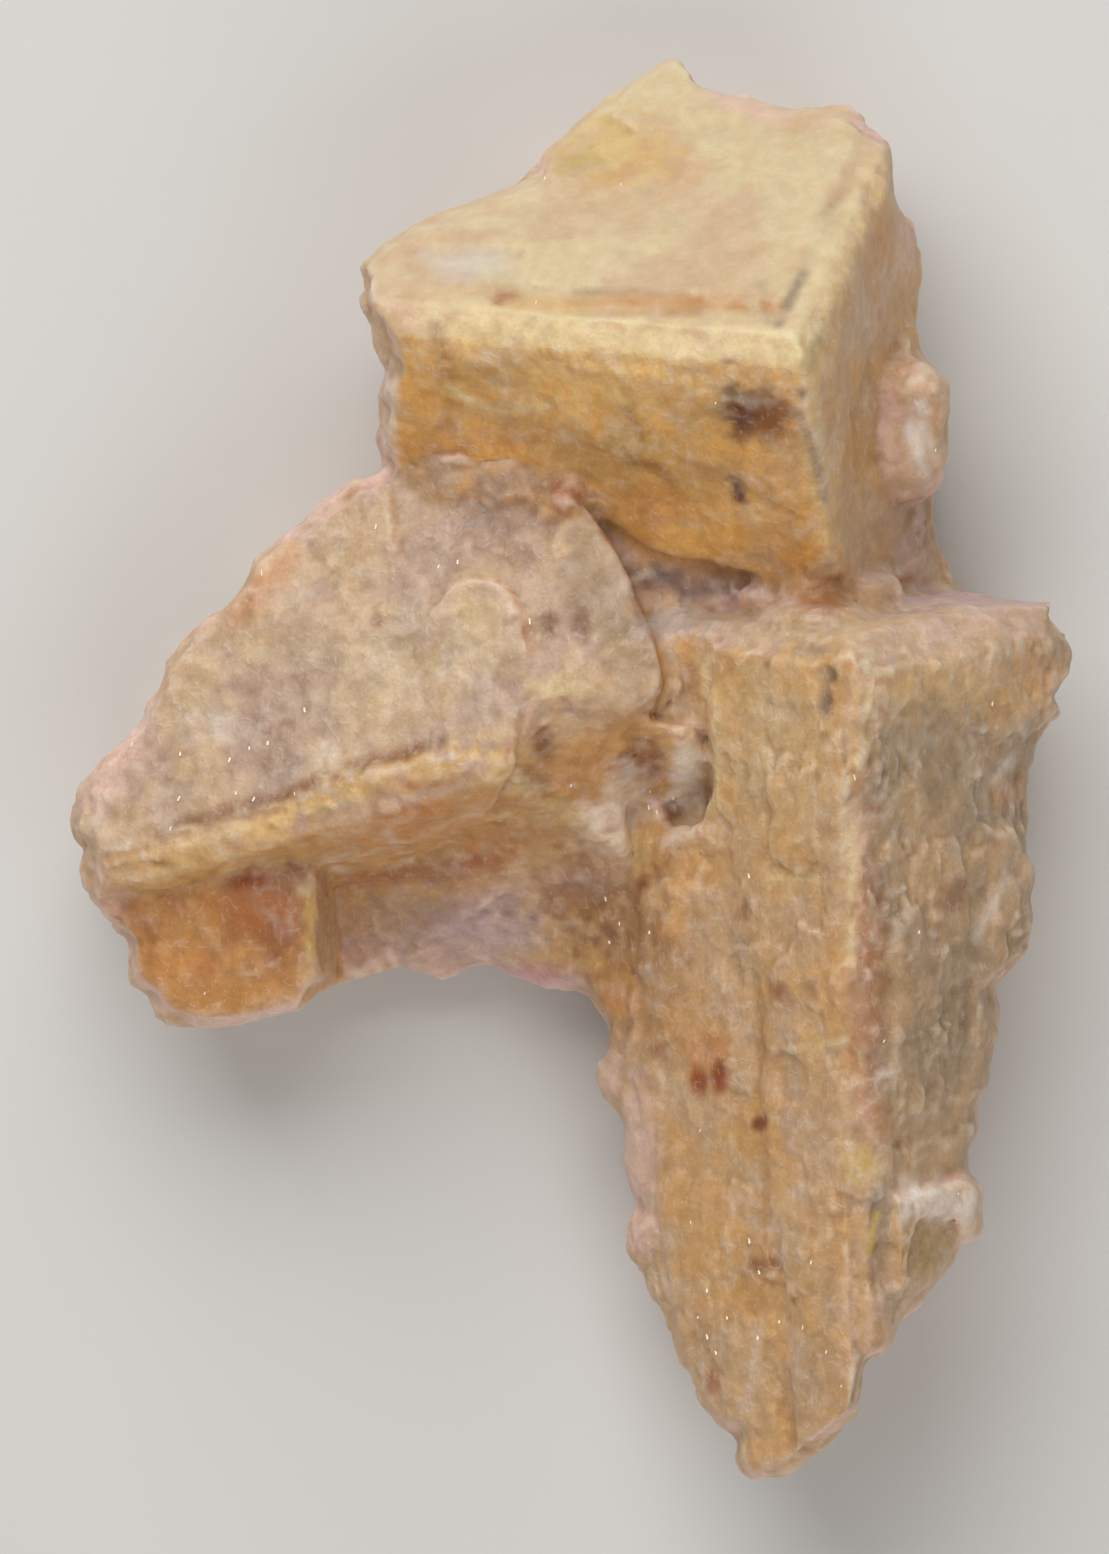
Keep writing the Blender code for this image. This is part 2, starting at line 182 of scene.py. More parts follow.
@dataclass(frozen=True)
class Mosaic:
    """Box-shaped cells of space, as in a crystal built of small blocks that stand a little out of line.

    Space is cut in a lattice, each cell of it holds one shifted centre, and a point belongs to the centre
    whose largest coordinate difference from it is least.
    """

    centre: np.ndarray
    border: np.ndarray
    chance: np.ndarray

    @classmethod
    def cut(cls, points: np.ndarray, size: tuple[float, float, float], seed: int) -> "Mosaic":
        """Sorts points into blocks.

        Args:
            points: Places along the crystal's edges in millimetres, shape (n, 3).
            size: Block size along each edge.
            seed: Chooses the pattern.

        Returns:
            For each point the centre of its block, its distance from the block's border as a share of
            the size, and a random number from -1 to 1 that the whole block has.
        """
        place = points / np.asarray(size, float)
        low = np.floor(place)
        nearest = np.full(len(points), 9.0)
        second = nearest.copy()
        centre = np.zeros_like(place)
        for corner in np.ndindex(3, 3, 3):
            cell = low + corner - 1.0
            middle = cell + 0.15 + 0.7 * np.stack([hashed(cell, seed + k) for k in range(3)], axis=1)
            reach = np.abs(middle - place).max(axis=1)
            closer = reach < nearest
            second = np.where(closer, nearest, np.minimum(second, reach))
            nearest = np.where(closer, reach, nearest)
            centre[closer] = middle[closer]
        chance = 2.0 * hashed(np.floor(centre * 64.0), seed + 7) - 1.0
        return cls(centre * size, second - nearest, chance)

    def levels(self, size: float, steps: float, seed: int) -> np.ndarray:
        """Growth plates: smooth noise read at the blocks' centres and rounded to whole steps.

        Args:
            size: How wide the plates are in millimetres.
            steps: Levels between the noise's middle and its top.
            seed: Chooses the pattern.

        Returns:
            Heights from about -1 to 1.
        """
        return np.round(lumps(self.centre, size, seed, 2) * steps) / steps


def read(items: bpy.types.bpy_prop_collection, name: str, width: int, kind: type = np.float32) -> np.ndarray:
    """Reads one property of all items as a whole array.

    Args:
        items: The mesh's points, edges, faces or normals.
        name: The property.
        width: How many numbers each item has.
        kind: The numbers' type.

    Returns:
        A row for each item, shape (n, width).
    """
    values = np.empty(width * len(items), kind)
    items.foreach_get(name, values)
    return values.reshape(-1, width)


def placed(name: str, data: bpy.types.ID) -> bpy.types.Object:
    """Links a new object into the scene, at the origin.

    Args:
        name: The object's name.
        data: Its mesh, light or camera.

    Returns:
        The object.
    """
    made = bpy.data.objects.new(name, data)
    bpy.context.scene.collection.objects.link(made)
    return made


def count_triangles(mesh: bpy.types.Mesh) -> int:
    """The mesh's triangles, with each larger face counted as the triangles it takes."""
    return int((read(mesh.polygons, "loop_total", 1, np.int32) - 2).sum())


def modified(
    mesh: bpy.types.Mesh, kind: str, groups: dict[str, list[int]] | None = None, **settings: object
) -> bpy.types.Mesh:
    """Runs one modifier on a mesh and deletes the mesh.

    Args:
        mesh: The mesh to change.
        kind: The modifier's type.
        groups: Names of vertex groups with their points' numbers.
        settings: The modifier's properties.

    Returns:
        The changed mesh.
    """
    holder = placed("holder", mesh)
    for name, members in (groups or {}).items():
        holder.vertex_groups.new(name=name).add(members, 1.0, "REPLACE")
    modifier = holder.modifiers.new(kind, kind)
    for name, value in settings.items():
        setattr(modifier, name, value)
    graph = bpy.context.evaluated_depsgraph_get()
    made = bpy.data.meshes.new_from_object(holder.evaluated_get(graph))
    bpy.data.objects.remove(holder)
    bpy.data.meshes.remove(mesh)
    return made


class Tint(Enum):
    """Colours of the stone, as red, green and blue out of 255."""

    CREAM = (221, 202, 162)
    STRAW = (238, 220, 168)
    YELLOW = (228, 200, 100)
    OLIVE = (180, 152, 88)
    AMBER = (233, 178, 100)
    HONEY = (214, 168, 112)
    OCHRE = (204, 150, 90)
    GOLD = (234, 194, 130)
    RUSSET = (176, 118, 78)
    ORANGE = (208, 132, 66)
    RUST = (160, 84, 44)
    BROWN = (136, 76, 38)
    UMBER = (108, 48, 16)
    SLATE = (96, 84, 92)
    TAN = (208, 172, 132)
    BEIGE = (214, 184, 148)
    GREY = (177, 152, 122)
    DOVE = (196, 168, 148)
    MAUVE = (174, 142, 128)
    LILAC = (200, 172, 174)
    PINK = (232, 196, 182)
    MAGENTA = (208, 144, 162)
    FROST = (238, 226, 214)
    ICE = (216, 214, 222)

    @property
    def linear(self) -> np.ndarray:
        """The colour as light, from 0 to 1, shape (3,)."""
        return (np.array(self.value) / 255.0) ** 2.2


@dataclass
class Skin:
    """The stone's surface as whole arrays, in millimetres."""

    mesh: bpy.types.Mesh
    points: np.ndarray
    edges: np.ndarray
    normals: np.ndarray = field(init=False)
    ends: np.ndarray = field(init=False)
    others: np.ndarray = field(init=False)
    degree: np.ndarray = field(init=False)

    def __post_init__(self) -> None:
        """Counts each point's neighbours and works out the first normals."""
        self.ends = np.concatenate([self.edges[:, 0], self.edges[:, 1]])
        self.others = np.concatenate([self.edges[:, 1], self.edges[:, 0]])
        self.degree = np.bincount(self.ends, minlength=len(self.points)).astype(float)
        self.update()

    def update(self) -> None:
        """Puts the points in the mesh and reads its normals back."""
        self.mesh.vertices.foreach_set("co", self.points.astype(np.float32).ravel())
        self.mesh.update()
        self.normals = read(self.mesh.vertex_normals, "vector", 3).astype(float)

    def spread(self, values: np.ndarray, rounds: int) -> np.ndarray:
        """Evens values out over the surface: each round takes the mean of a point and its neighbours.

        Args:
            values: One number or one row for each point.
            rounds: How many times the mean is taken.

        Returns:
            The evened values, in the shape of values.
        """
        table = values.reshape(len(values), -1).astype(float)
        for _ in range(rounds):
            total = [np.bincount(self.ends, column[self.others], len(table)) for column in table.T]
            table = 0.5 * table + 0.5 * np.stack(total, axis=1) / self.degree[:, None]
        return table.reshape(values.shape)

    def curvature(self, rounds: int) -> np.ndarray:
        """How far each point stands out of its evened surroundings, in millimetres, hollows below 0."""
        return ((self.points - self.spread(self.points, rounds)) * self.normals).sum(axis=1)

    def seen_from_above(self, cell: float = 0.25, slack: float = 1.1) -> np.ndarray:
        """Finds the points with nothing above them.

        The plan is cut in square cells, each cell keeps its highest point, and a point is seen if it
        lies less than the slack below that.

        Args:
            cell: Side of a cell in millimetres.
            slack: Height allowed below the highest point.

        Returns:
            Weights from 0 for hidden to 1 for seen.
        """
        column = np.floor((self.points[:, :2] - self.points[:, :2].min(axis=0)) / cell).astype(int)
        top = np.full(column.max(axis=0) + 1, -1.0)
        np.maximum.at(top, (column[:, 0], column[:, 1]), self.points[:, 2])
        below = top[column[:, 0], column[:, 1]] - self.points[:, 2]
        return ramp(below, slack, 0.6 * slack) * ramp(self.normals[:, 2], -0.05, 0.12)


@dataclass(frozen=True)
class Relief:
    """How deeply each kind of carving cuts, in millimetres, and how strongly the colour varies."""

    waves: float = 0.05
    crumb: float = 0.02
    plates: float = 0.08
    blocks: float = 0.02
    striae: float = 0.0
    contrast: float = 1.0


BROKEN = Relief(waves=0.16, crumb=0.04, plates=0.16, blocks=0.035, contrast=0.8)


@dataclass(frozen=True)
class Face:
    """One grown face of a crystal and how it looks."""

    name: str
    axis: int
    main: Tint
    other: Tint
    relief: Relief
    edge: Tint = Tint.BEIGE
    edge_strength: float = 0.35

    @property
    def others(self) -> list[int]:
        """The two edges that lie in the face."""
        return [k for k in range(3) if k != self.axis]


@dataclass(frozen=True)
class Crystal:
    """One cube of the group, from its near corner and its edges as the photograph shows them."""

    name: str
    corner: Pixel
    height: float
    edge_angles: tuple[float, float, float]
    block: tuple[float, float, float]
    faces: tuple[Face, ...]
    bevels: tuple[tuple[int, int, float], ...] = ()

    @property
    def axes(self) -> np.ndarray:
        """The unit edge directions into the crystal, one in each row.

        Of three square edges seen from above, the lengths as complex numbers squared add up to zero. So
        each squared length goes with the sine of twice the angle between the other two, and the three
        add up to 2.
        """
        angles = np.radians(self.edge_angles)
        shares = np.abs(np.sin(2.0 * (np.roll(angles, -1) - np.roll(angles, -2))))
        flat = np.sqrt(2.0 * shares / shares.sum())
        return np.stack([flat * np.cos(angles), flat * np.sin(angles), -np.sqrt(1.0 - flat**2)], axis=1)

    def coordinates(self, points: np.ndarray) -> np.ndarray:
        """Places along the three edges from the near corner, in millimetres, shape (n, 3)."""
        return (points - np.append(on_stone(self.corner), self.height)) @ self.axes.T

    def depth_outside(self, coordinates: np.ndarray) -> np.ndarray:
        """How far each point lies outside the cube, below 0 inside it."""
        return np.maximum(-coordinates, coordinates - np.array(self.block)).max(axis=1)

    def bevelled(self, points: np.ndarray) -> np.ndarray:
        """Cuts the crystal's near edges off flat.

        Where the depths under two faces add up to less than the bevel's width, the point moves in along
        both faces' axes by half of what is missing. This fades out away from the edge and past its ends.

        Args:
            points: Places on the stone, shape (n, 3).

        Returns:
            The moved places.
        """
        for first, second, width in self.bevels:
            depth = self.coordinates(points)
            third = depth[:, 3 - first - second]
            near = ramp(np.abs(depth[:, [first, second]]).max(axis=1), 1.6 * width, 1.1 * width)
            far_end = self.block[3 - first - second]
            near *= ramp(third, -0.6, 0.0) * ramp(third, far_end, far_end - 1.0)
            cut = np.clip(width - depth[:, first] - depth[:, second], 0.0, width) * near
            points = points + 0.5 * cut[:, None] * (self.axes[first] + self.axes[second])
        return points

    def share(self, face: Face, normals: np.ndarray, coordinates: np.ndarray) -> np.ndarray:
        """How far each point belongs to a face: it lies near the face's plane and looks the same way.

        Args:
            face: The face.
            normals: The surface's normals.
            coordinates: The surface's points along this crystal's edges.

        Returns:
            Weights from 0 to 1.
        """
        towards = -(normals @ self.axes[face.axis])
        within = ramp(coordinates[:, face.others].min(axis=1), -1.5, -0.3)
        within *= ramp((coordinates - np.array(self.block))[:, face.others].max(axis=1), 1.0, 0.0)
        return ramp(towards, 0.62, 0.86) * ramp(np.abs(coordinates[:, face.axis]), 2.4, 1.2) * within


@dataclass(frozen=True)
class Patch:
    """A soft-edged spot on the side that faces up, which may also be raised or sunk."""

    name: str
    centre: Pixel
    reach: Pixel
    tint: Tint
    strength: float = 0.6
    turn: float = 0.0
    rise: float = 0.0
    ragged: float = 0.3

    def weight(self, plan: np.ndarray, ripple: np.ndarray) -> np.ndarray:
        """Full inside an ellipse and nothing outside it, across a border that noise moves to and fro.

        Args:
            plan: Columns and rows of the points in the photograph.
            ripple: Noise from -1 to 1 for each point.

        Returns:
            Weights from 0 to 1.
        """
        angle = math.radians(self.turn)
        across = plan[:, 0] - self.centre[0]
        up = self.centre[1] - plan[:, 1]
        along = (across * math.cos(angle) + up * math.sin(angle)) / self.reach[0]
        aside = (up * math.cos(angle) - across * math.sin(angle)) / self.reach[1]
        return ramp(np.hypot(along, aside) + self.ragged * ripple, 1.35, 0.35)


@dataclass(frozen=True)
class Lump:
    """An egg-shaped lump of stone, or a hollow of that shape, with its radii in millimetres."""

    name: str
    centre: Pixel
    height: float
    radii: tuple[float, float, float]


def ellipsoids(shapes: tuple[Lump, ...]) -> bpy.types.Mesh:
    """Makes balls of triangles, each stretched along the three axes.

    Args:
        shapes: The lumps or hollows.

    Returns:
        One mesh of them all, in millimetres.
    """
    bm = bmesh.new()
    for shape in shapes:
        place = Matrix.Translation((*on_stone(shape.centre), shape.height))
        stretch = Matrix.Diagonal((*shape.radii, 1.0))
        bmesh.ops.create_icosphere(bm, subdivisions=3, radius=1.0, matrix=place @ stretch)
    mesh = bpy.data.meshes.new("lumps")
    bm.to_mesh(mesh)
    bm.free()
    return mesh


@dataclass(frozen=True)
class Melt:
    """A place where the crystals have grown into each other, so that their edges are gone."""

    name: str
    centre: Pixel
    reach: Pixel
    rounds: int
    turn: float = 0.0

    def weight(self, plan: np.ndarray, ripple: np.ndarray) -> np.ndarray:
        """The weight of a patch of the same place and size."""
        spot = Patch(self.name, self.centre, self.reach, Tint.TAN, turn=self.turn, ragged=0.1)
        return spot.weight(plan, ripple)


@dataclass(frozen=True)
class Stroke:
    """A line on the side that faces up, which may also be a ridge or a groove."""

    name: str
    path: tuple[Pixel, ...]
    width: float
    tint: Tint
    strength: float = 0.6
    rise: float = 0.0

    def weight(self, plan: np.ndarray, ripple: np.ndarray) -> np.ndarray:
        """Full on the line and nothing beyond its width: the distance to the nearest of its pieces.

        Args:
            plan: Columns and rows of the points in the photograph.
            ripple: Noise from -1 to 1 for each point, which breaks the line up.

        Returns:
            Weights from 0 to 1.
        """
        nearest = np.full(len(plan), 1e9)
        for start, end in zip(self.path[:-1], self.path[1:]):
            step = np.subtract(end, start).astype(float)
            t = np.clip((plan - start) @ step / (step @ step), 0.0, 1.0)
            nearest = np.minimum(nearest, np.linalg.norm(plan - start - t[:, None] * step, axis=1))
        return ramp(nearest, 1.9 * self.width, 0.0) * ramp(ripple, -1.1, -0.1)


UPPER = Crystal(
    "upper crystal", (803, 358), 23.5, (174.9, 65.2, -80.2), (26, 25, 15),
    (
        Face("top", 2, Tint.CREAM, Tint.BEIGE, Relief(0.07, 0.010, 0.05, 0.004, 0.0, 0.45), Tint.STRAW, 0.5),
        Face("front", 1, Tint.AMBER, Tint.HONEY, Relief(0.12, 0.02, 0.09, 0.01, 0.015, 1.0), Tint.STRAW, 0.4),
        Face("right", 0, Tint.HONEY, Tint.TAN, Relief(0.12, 0.020, 0.10, 0.012, 0.01, 0.9), Tint.STRAW, 0.3),
    ),
    ((1, 2, 1.1), (0, 2, 0.8), (0, 1, 0.5)),
)
LEFT = Crystal(
    "left crystal", (664, 733), 19.0, (195.4, 325.0, 100.0), (31, 24, 19),
    (
        Face("top", 1, Tint.BEIGE, Tint.DOVE, Relief(0.20, 0.035, 0.10, 0.018, 0.01, 1.0), Tint.BEIGE, 0.3),
        Face("front", 2, Tint.HONEY, Tint.OCHRE, Relief(0.14, 0.025, 0.10, 0.015, 0.0, 0.9), Tint.BEIGE, 0.3),
        Face("right", 0, Tint.HONEY, Tint.MAUVE, Relief(0.14, 0.030, 0.10, 0.018, 0.01, 1.0)),
    ),
    ((1, 2, 0.8),),
)
LOWER = Crystal(
    "lower crystal", (858, 646), 21.2, (172.2, 12.6, -88.8), (24, 22, 42),
    (
        Face("strip", 1, Tint.HONEY, Tint.TAN, Relief(0.09, 0.015, 0.15, 0.018, 0.01, 1.0)),
        Face("right", 0, Tint.GREY, Tint.TAN, Relief(0.11, 0.015, 0.24, 0.022, 0.0, 1.0), Tint.BROWN, 0.2),
        Face("top", 2, Tint.BEIGE, Tint.LILAC, Relief(0.12, 0.025, 0.06, 0.015, 0.0, 0.9)),
    ),
    ((1, 2, 0.7), (0, 2, 1.2)),
)
SMALL = Crystal(
    "small crystal", (318, 866), 11.0, (181.0, 46.0, -88.0), (12, 14, 9),
    (
        Face("front", 2, Tint.RUSSET, Tint.OCHRE, Relief(0.10, 0.020, 0.10, 0.02), edge_strength=0.2),
        Face("top", 1, Tint.RUSSET, Tint.OCHRE, Relief(0.10, 0.020, 0.10, 0.02), edge_strength=0.2),
        Face("right", 0, Tint.TAN, Tint.HONEY, Relief(0.10, 0.020, 0.10, 0.02)),
    ),
)
CRYSTALS = (UPPER, LEFT, LOWER, SMALL)

FILLERS = (
    Lump("end of the tip", (815, 592), 13.0, (1.7, 1.5, 2.6)),
    Lump("gap under the tip", (815, 622), 14.6, (2.6, 0.9, 3.4)),
    Lump("right of the tip", (864, 598), 11.4, (1.6, 1.2, 2.8)),
    Lump("left of the tip", (760, 600), 11.4, (1.5, 1.0, 2.6)),
    Lump("wide pit", (550, 628), 14.85, (0.9, 0.9, 0.7)),
    Lump("narrow pit", (582, 628), 14.8, (0.6, 0.9, 0.75)),
    Lump("between lip and strip", (686, 716), 12.4, (1.5, 1.3, 1.9)),
    Lump("beside the lip", (668, 686), 12.5, (1.5, 2.9, 2.0)),
    Lump("beside the right lump", (902, 440), 9.8, (2.2, 3.4, 2.9)),
)

HOLLOWS = (
    Lump("pocket", (664, 794), 15.2, (1.25, 1.9, 3.9)),
    Lump("hollow under the lip", (636, 756), 16.6, (1.5, 1.2, 3.2)),
)

SWELLS = (
    Patch("diagonal band", (556, 806), (90, 20), Tint.STRAW, turn=-32, rise=0.55, ragged=0.1),
    Patch("rim over the left front", (470, 762), (110, 14), Tint.STRAW, turn=12, rise=0.35, ragged=0.1),
    Patch("clump on the border", (448, 478), (26, 20), Tint.MAUVE, rise=0.8),
    Patch("clump by the border", (508, 486), (26, 18), Tint.MAUVE, rise=0.9),
    Patch("clump at the lip's top", (566, 500), (24, 16), Tint.MAUVE, rise=0.6),
    Patch("step by the thumb", (505, 520), (42, 44), Tint.MAUVE, rise=-0.35),
    Patch("shoulder of the strip", (985, 655), (80, 36), Tint.HONEY, rise=0.35),
)

MELTED = (
    Melt("pits in the left crystal", (566, 626), (36, 26), 60),
    Melt("broken corner", (560, 752), (88, 62), 150),
    Melt("pocket", (668, 780), (64, 72), 60),
    Melt("end of the ridge", (508, 742), (34, 46), 60),
    Melt("lip's edge", (638, 618), (26, 95), 30, -78),
    Melt("seam of the strip", (750, 950), (26, 150), 60, 8),
    Melt("low seam", (788, 1340), (24, 130), 60),
    Melt("low ledges", (872, 1275), (34, 84), 30),
    Melt("worn edge of the strip", (856, 1030), (24, 190), 60),
    Melt("under the lip", (640, 716), (64, 22), 60),
    Melt("slit", (826, 700), (18, 40), 60),
    Melt("ledge hollow", (925, 1225), (56, 52), 30),
    Melt("tip", (832, 602), (76, 26), 60),
    Melt("border of the left crystal", (492, 484), (115, 18), 30),
    Melt("small crystal's top", (195, 868), (120, 16), 60, 4),
    Melt("recess", (470, 935), (115, 52), 150),
    Melt("tip plate", (705, 112), (85, 26), 60),
    Melt("right lump", (915, 440), (40, 60), 24),
)

UPPER_MARKS = (
    Patch("yellow stain", (618, 150), (50, 38), Tint.YELLOW, 0.4, ragged=0.6),
    Patch("olive stain", (583, 168), (24, 18), Tint.OLIVE, 0.35, ragged=0.5),
    Patch("orange spot", (681, 171), (20, 20), Tint.ORANGE, 0.2, ragged=0.6),
    Patch("pink top edge", (745, 108), (50, 18), Tint.PINK, 0.6, -20),
    Patch("pale blue cloud", (463, 268), (45, 18), Tint.ICE, 0.4),
    Patch("red freckle", (510, 305), (14, 11), Tint.RUST, 0.9),
    Stroke("amber rim", ((572, 196), (618, 184), (653, 151)), 7, Tint.ORANGE, 0.3, -0.05),
    Stroke("growth line", ((576, 297), (646, 297), (700, 303)), 4, Tint.GREY, 0.45, -0.08),
    Stroke("amber growth band", ((521, 312), (640, 308), (778, 312)), 7, Tint.OCHRE, 0.95),
    Stroke("red growth line", ((548, 319), (640, 319), (700, 318)), 4, Tint.RUST, 0.5, -0.06),
    # Pale straw bands on the upper crystal's bevels, painted brighter where the light falls on them: painted
    # light.
    Stroke("pale bevel with painted light", ((440, 322), (560, 332), (700, 346), (800, 358)), 22, Tint.STRAW, 0.75),
    Stroke("pale right bevel with painted light", ((803, 352), (840, 270), (878, 180)), 16, Tint.STRAW, 0.45),
    Stroke("corner line", ((762, 288), (766, 330)), 4, Tint.GREY, 0.45),
    Stroke("dark corner stroke", ((803, 283), (778, 330)), 5, Tint.SLATE, 0.45, -0.08),
    Stroke("grey dashes", ((848, 194), (818, 226)), 5, Tint.GREY, 0.45, -0.06),
    Stroke("brown streak", ((437, 331), (446, 360), (456, 392)), 7, Tint.BROWN, 0.36, -0.05),
    Stroke("pale arc", ((448, 392), (475, 409), (513, 415), (548, 411)), 5, Tint.STRAW, 0.5, 0.08),
    Patch("brown inclusion", (758, 418), (42, 27), Tint.BROWN, 0.9, -15, -0.1),
    Patch("dark inclusion", (739, 418), (17, 24), Tint.UMBER, 0.95, 10, -0.1),
    Patch("amber left foot", (480, 455), (70, 30), Tint.ORANGE, 0.3, ragged=0.6),
    Patch("olive front", (625, 462), (70, 34), Tint.OLIVE, 0.35, -10, ragged=0.6),
    Patch("pale front by the edge", (775, 520), (26, 56), Tint.TAN, 0.35, 10, ragged=0.6),
    Patch("small inclusion", (727, 367), (9, 5), Tint.BROWN, 0.72),
    Patch("corner inclusion", (802, 403), (6, 8), Tint.UMBER, 0.87),
    Stroke("blue crack", ((800, 424), (813, 453), (825, 503)), 5, Tint.SLATE, 0.5, -0.1),
    Patch("lower inclusion", (739, 495), (7, 15), Tint.UMBER, 0.94, 20, -0.08),
    Patch("amber cloud", (650, 508), (34, 24), Tint.ORANGE, 0.35),
    Stroke("dark streak", ((628, 465), (662, 476), (674, 495)), 6, Tint.BROWN, 0.45, -0.06),
    Stroke("short crack", ((628, 415), (643, 442)), 4, Tint.BROWN, 0.45),
    Patch("red shade", (478, 490), (14, 11), Tint.MAUVE, 0.5),
    Patch("grey shade", (543, 490), (12, 8), Tint.GREY, 0.58),
    Patch("amber foot", (820, 588), (42, 34), Tint.OCHRE, 0.7, ragged=0.5),
    Patch("amber foot's core", (826, 598), (28, 22), Tint.BROWN, 0.6, ragged=0.4),
    Patch("straw upper left", (600, 385), (130, 40), Tint.STRAW, 0.3, -6, ragged=0.6),
    Patch("ochre lower left", (600, 480), (80, 30), Tint.OCHRE, 0.35, -25, ragged=0.6),
    Patch("grey foot bump", (824, 571), (13, 12), Tint.GREY, 0.5, 0, 0.15),
    Patch("pale left strip", (394, 420), (10, 55), Tint.FROST, 0.4),
    Patch("amber right edge", (880, 255), (18, 75), Tint.ORANGE, 0.3),
    Patch("pink right edge", (909, 250), (12, 35), Tint.PINK, 0.6),
    Patch("tan lump", (932, 432), (36, 66), Tint.TAN, 0.9),
    Patch("white chip", (920, 436), (13, 46), Tint.FROST, 1.0),
    Patch("tan beside the foot", (884, 592), (34, 22), Tint.TAN, 0.6),
    Patch("grey shoulder", (912, 540), (26, 55), Tint.MAUVE, 0.45),
)

# The gap under the upper crystal's tip: its lilac tone, and painted shade where the overhang shades it.
GAP_TONE_AND_PAINTED_SHADE = (
    Patch("gap shade", (690, 588), (62, 22), Tint.MAUVE, 0.75, -12),
    Patch("painted shadow in the gap", (672, 584), (44, 15), Tint.SLATE, 0.55, -15),
    Patch("gap lilac", (750, 602), (34, 16), Tint.LILAC, 0.5, -12),
)

LEFT_MARKS = (
    Patch("frosted field", (350, 670), (110, 60), Tint.CREAM, 0.35, 25, ragged=0.6),
    Patch("purple low left", (265, 722), (85, 45), Tint.MAUVE, 0.5, 30, ragged=0.6),
    Patch("grey by the lip", (606, 590), (36, 74), Tint.GREY, 0.8, 15),
    Patch("grey end of the lip", (642, 660), (26, 50), Tint.GREY, 0.7, 10),
    Patch("thumb ledge", (480, 625), (46, 70), Tint.STRAW, 0.2, 10, 0.1),
    Patch("purple upper right", (512, 530), (52, 42), Tint.MAUVE, 0.75),
    Patch("clump on the border, dove", (448, 478), (28, 18), Tint.DOVE, 0.6),
    Patch("clump by the border, mauve", (508, 486), (30, 16), Tint.MAUVE, 0.65),
    Patch("clump at the lip's top, russet", (566, 500), (30, 20), Tint.RUSSET, 0.85),
    Patch("first pit", (549, 626), (11, 16), Tint.UMBER, 0.5, 0, -0.1),
    Patch("second pit", (582, 627), (10, 16), Tint.BROWN, 0.45, 0, -0.1),
    Patch("brown spot", (379, 623), (8, 8), Tint.BROWN, 0.58),
    Patch("purple stain", (309, 680), (25, 18), Tint.MAUVE, 0.4),
    Patch("frost left", (221, 728), (22, 20), Tint.FROST, 0.5),
    Patch("frost middle", (328, 753), (16, 13), Tint.FROST, 0.5),
    Patch("amber far edge", (265, 588), (20, 50), Tint.ORANGE, 0.4, -40),
    Patch("pink left end", (112, 762), (30, 80), Tint.PINK, 0.55, -35),
    Patch("pale lip field", (565, 690), (36, 12), Tint.STRAW, 0.5),
    Stroke(
        "shaded lip",
        ((575, 508), (608, 539), (634, 578), (636, 609), (648, 651), (662, 685), (655, 710), (636, 720),
         (614, 721), (575, 713), (538, 713)),
        4, Tint.UMBER, 0.3,
    ),
    Stroke(
        "pale ridge",
        ((133, 871), (219, 855), (283, 823), (331, 798), (395, 772), (474, 757), (519, 766)),
        19, Tint.GOLD, 0.85, 0.1,
    ),
    Stroke(
        "dark seam", ((156, 831), (226, 814), (283, 798), (334, 779), (379, 763), (443, 744)),
        7, Tint.BROWN, 0.7, -0.1,
    ),
    Patch("amber front", (409, 819), (44, 26), Tint.ORANGE, 0.6, 25, ragged=0.5),
    Patch("amber front right", (492, 852), (30, 18), Tint.ORANGE, 0.5, 15, ragged=0.5),
    Patch("red foot", (416, 872), (105, 12), Tint.RUST, 0.51, 5),
    Stroke("white curl", ((328, 859), (353, 878)), 4, Tint.FROST, 0.5),
    Stroke("white curl right", ((389, 832), (412, 859)), 4, Tint.FROST, 0.5),
    Patch("dark corner", (535, 782), (14, 17), Tint.UMBER, 0.45),
    Patch("brown corner", (545, 743), (14, 22), Tint.BROWN, 0.65),
    # Mauve of the recess, darkened also as painted shade of the shadowed underside.
    Patch("recess", (430, 928), (110, 44), Tint.MAUVE, 0.6, -3),
    Patch("recess frost", (480, 932), (64, 26), Tint.LILAC, 0.6),
    Patch("magenta rim", (533, 975), (50, 13), Tint.MAGENTA, 0.5),
)

SMALL_MARKS = (
    Patch("dark red", (250, 880), (26, 11), Tint.RUST, 0.94),
    Patch("amber middle", (248, 910), (52, 22), Tint.ORANGE, 0.35),
    Patch("amber low", (181, 964), (44, 22), Tint.ORANGE, 0.25),
    Stroke("pale line", ((192, 901), (213, 939), (232, 970)), 4, Tint.TAN, 0.4, 0.06),
    Stroke("yellow edge", ((305, 874), (314, 924), (311, 970)), 7, Tint.YELLOW, 0.5),
    Patch("pink left edge", (106, 910), (20, 30), Tint.PINK, 0.6, -50),
)

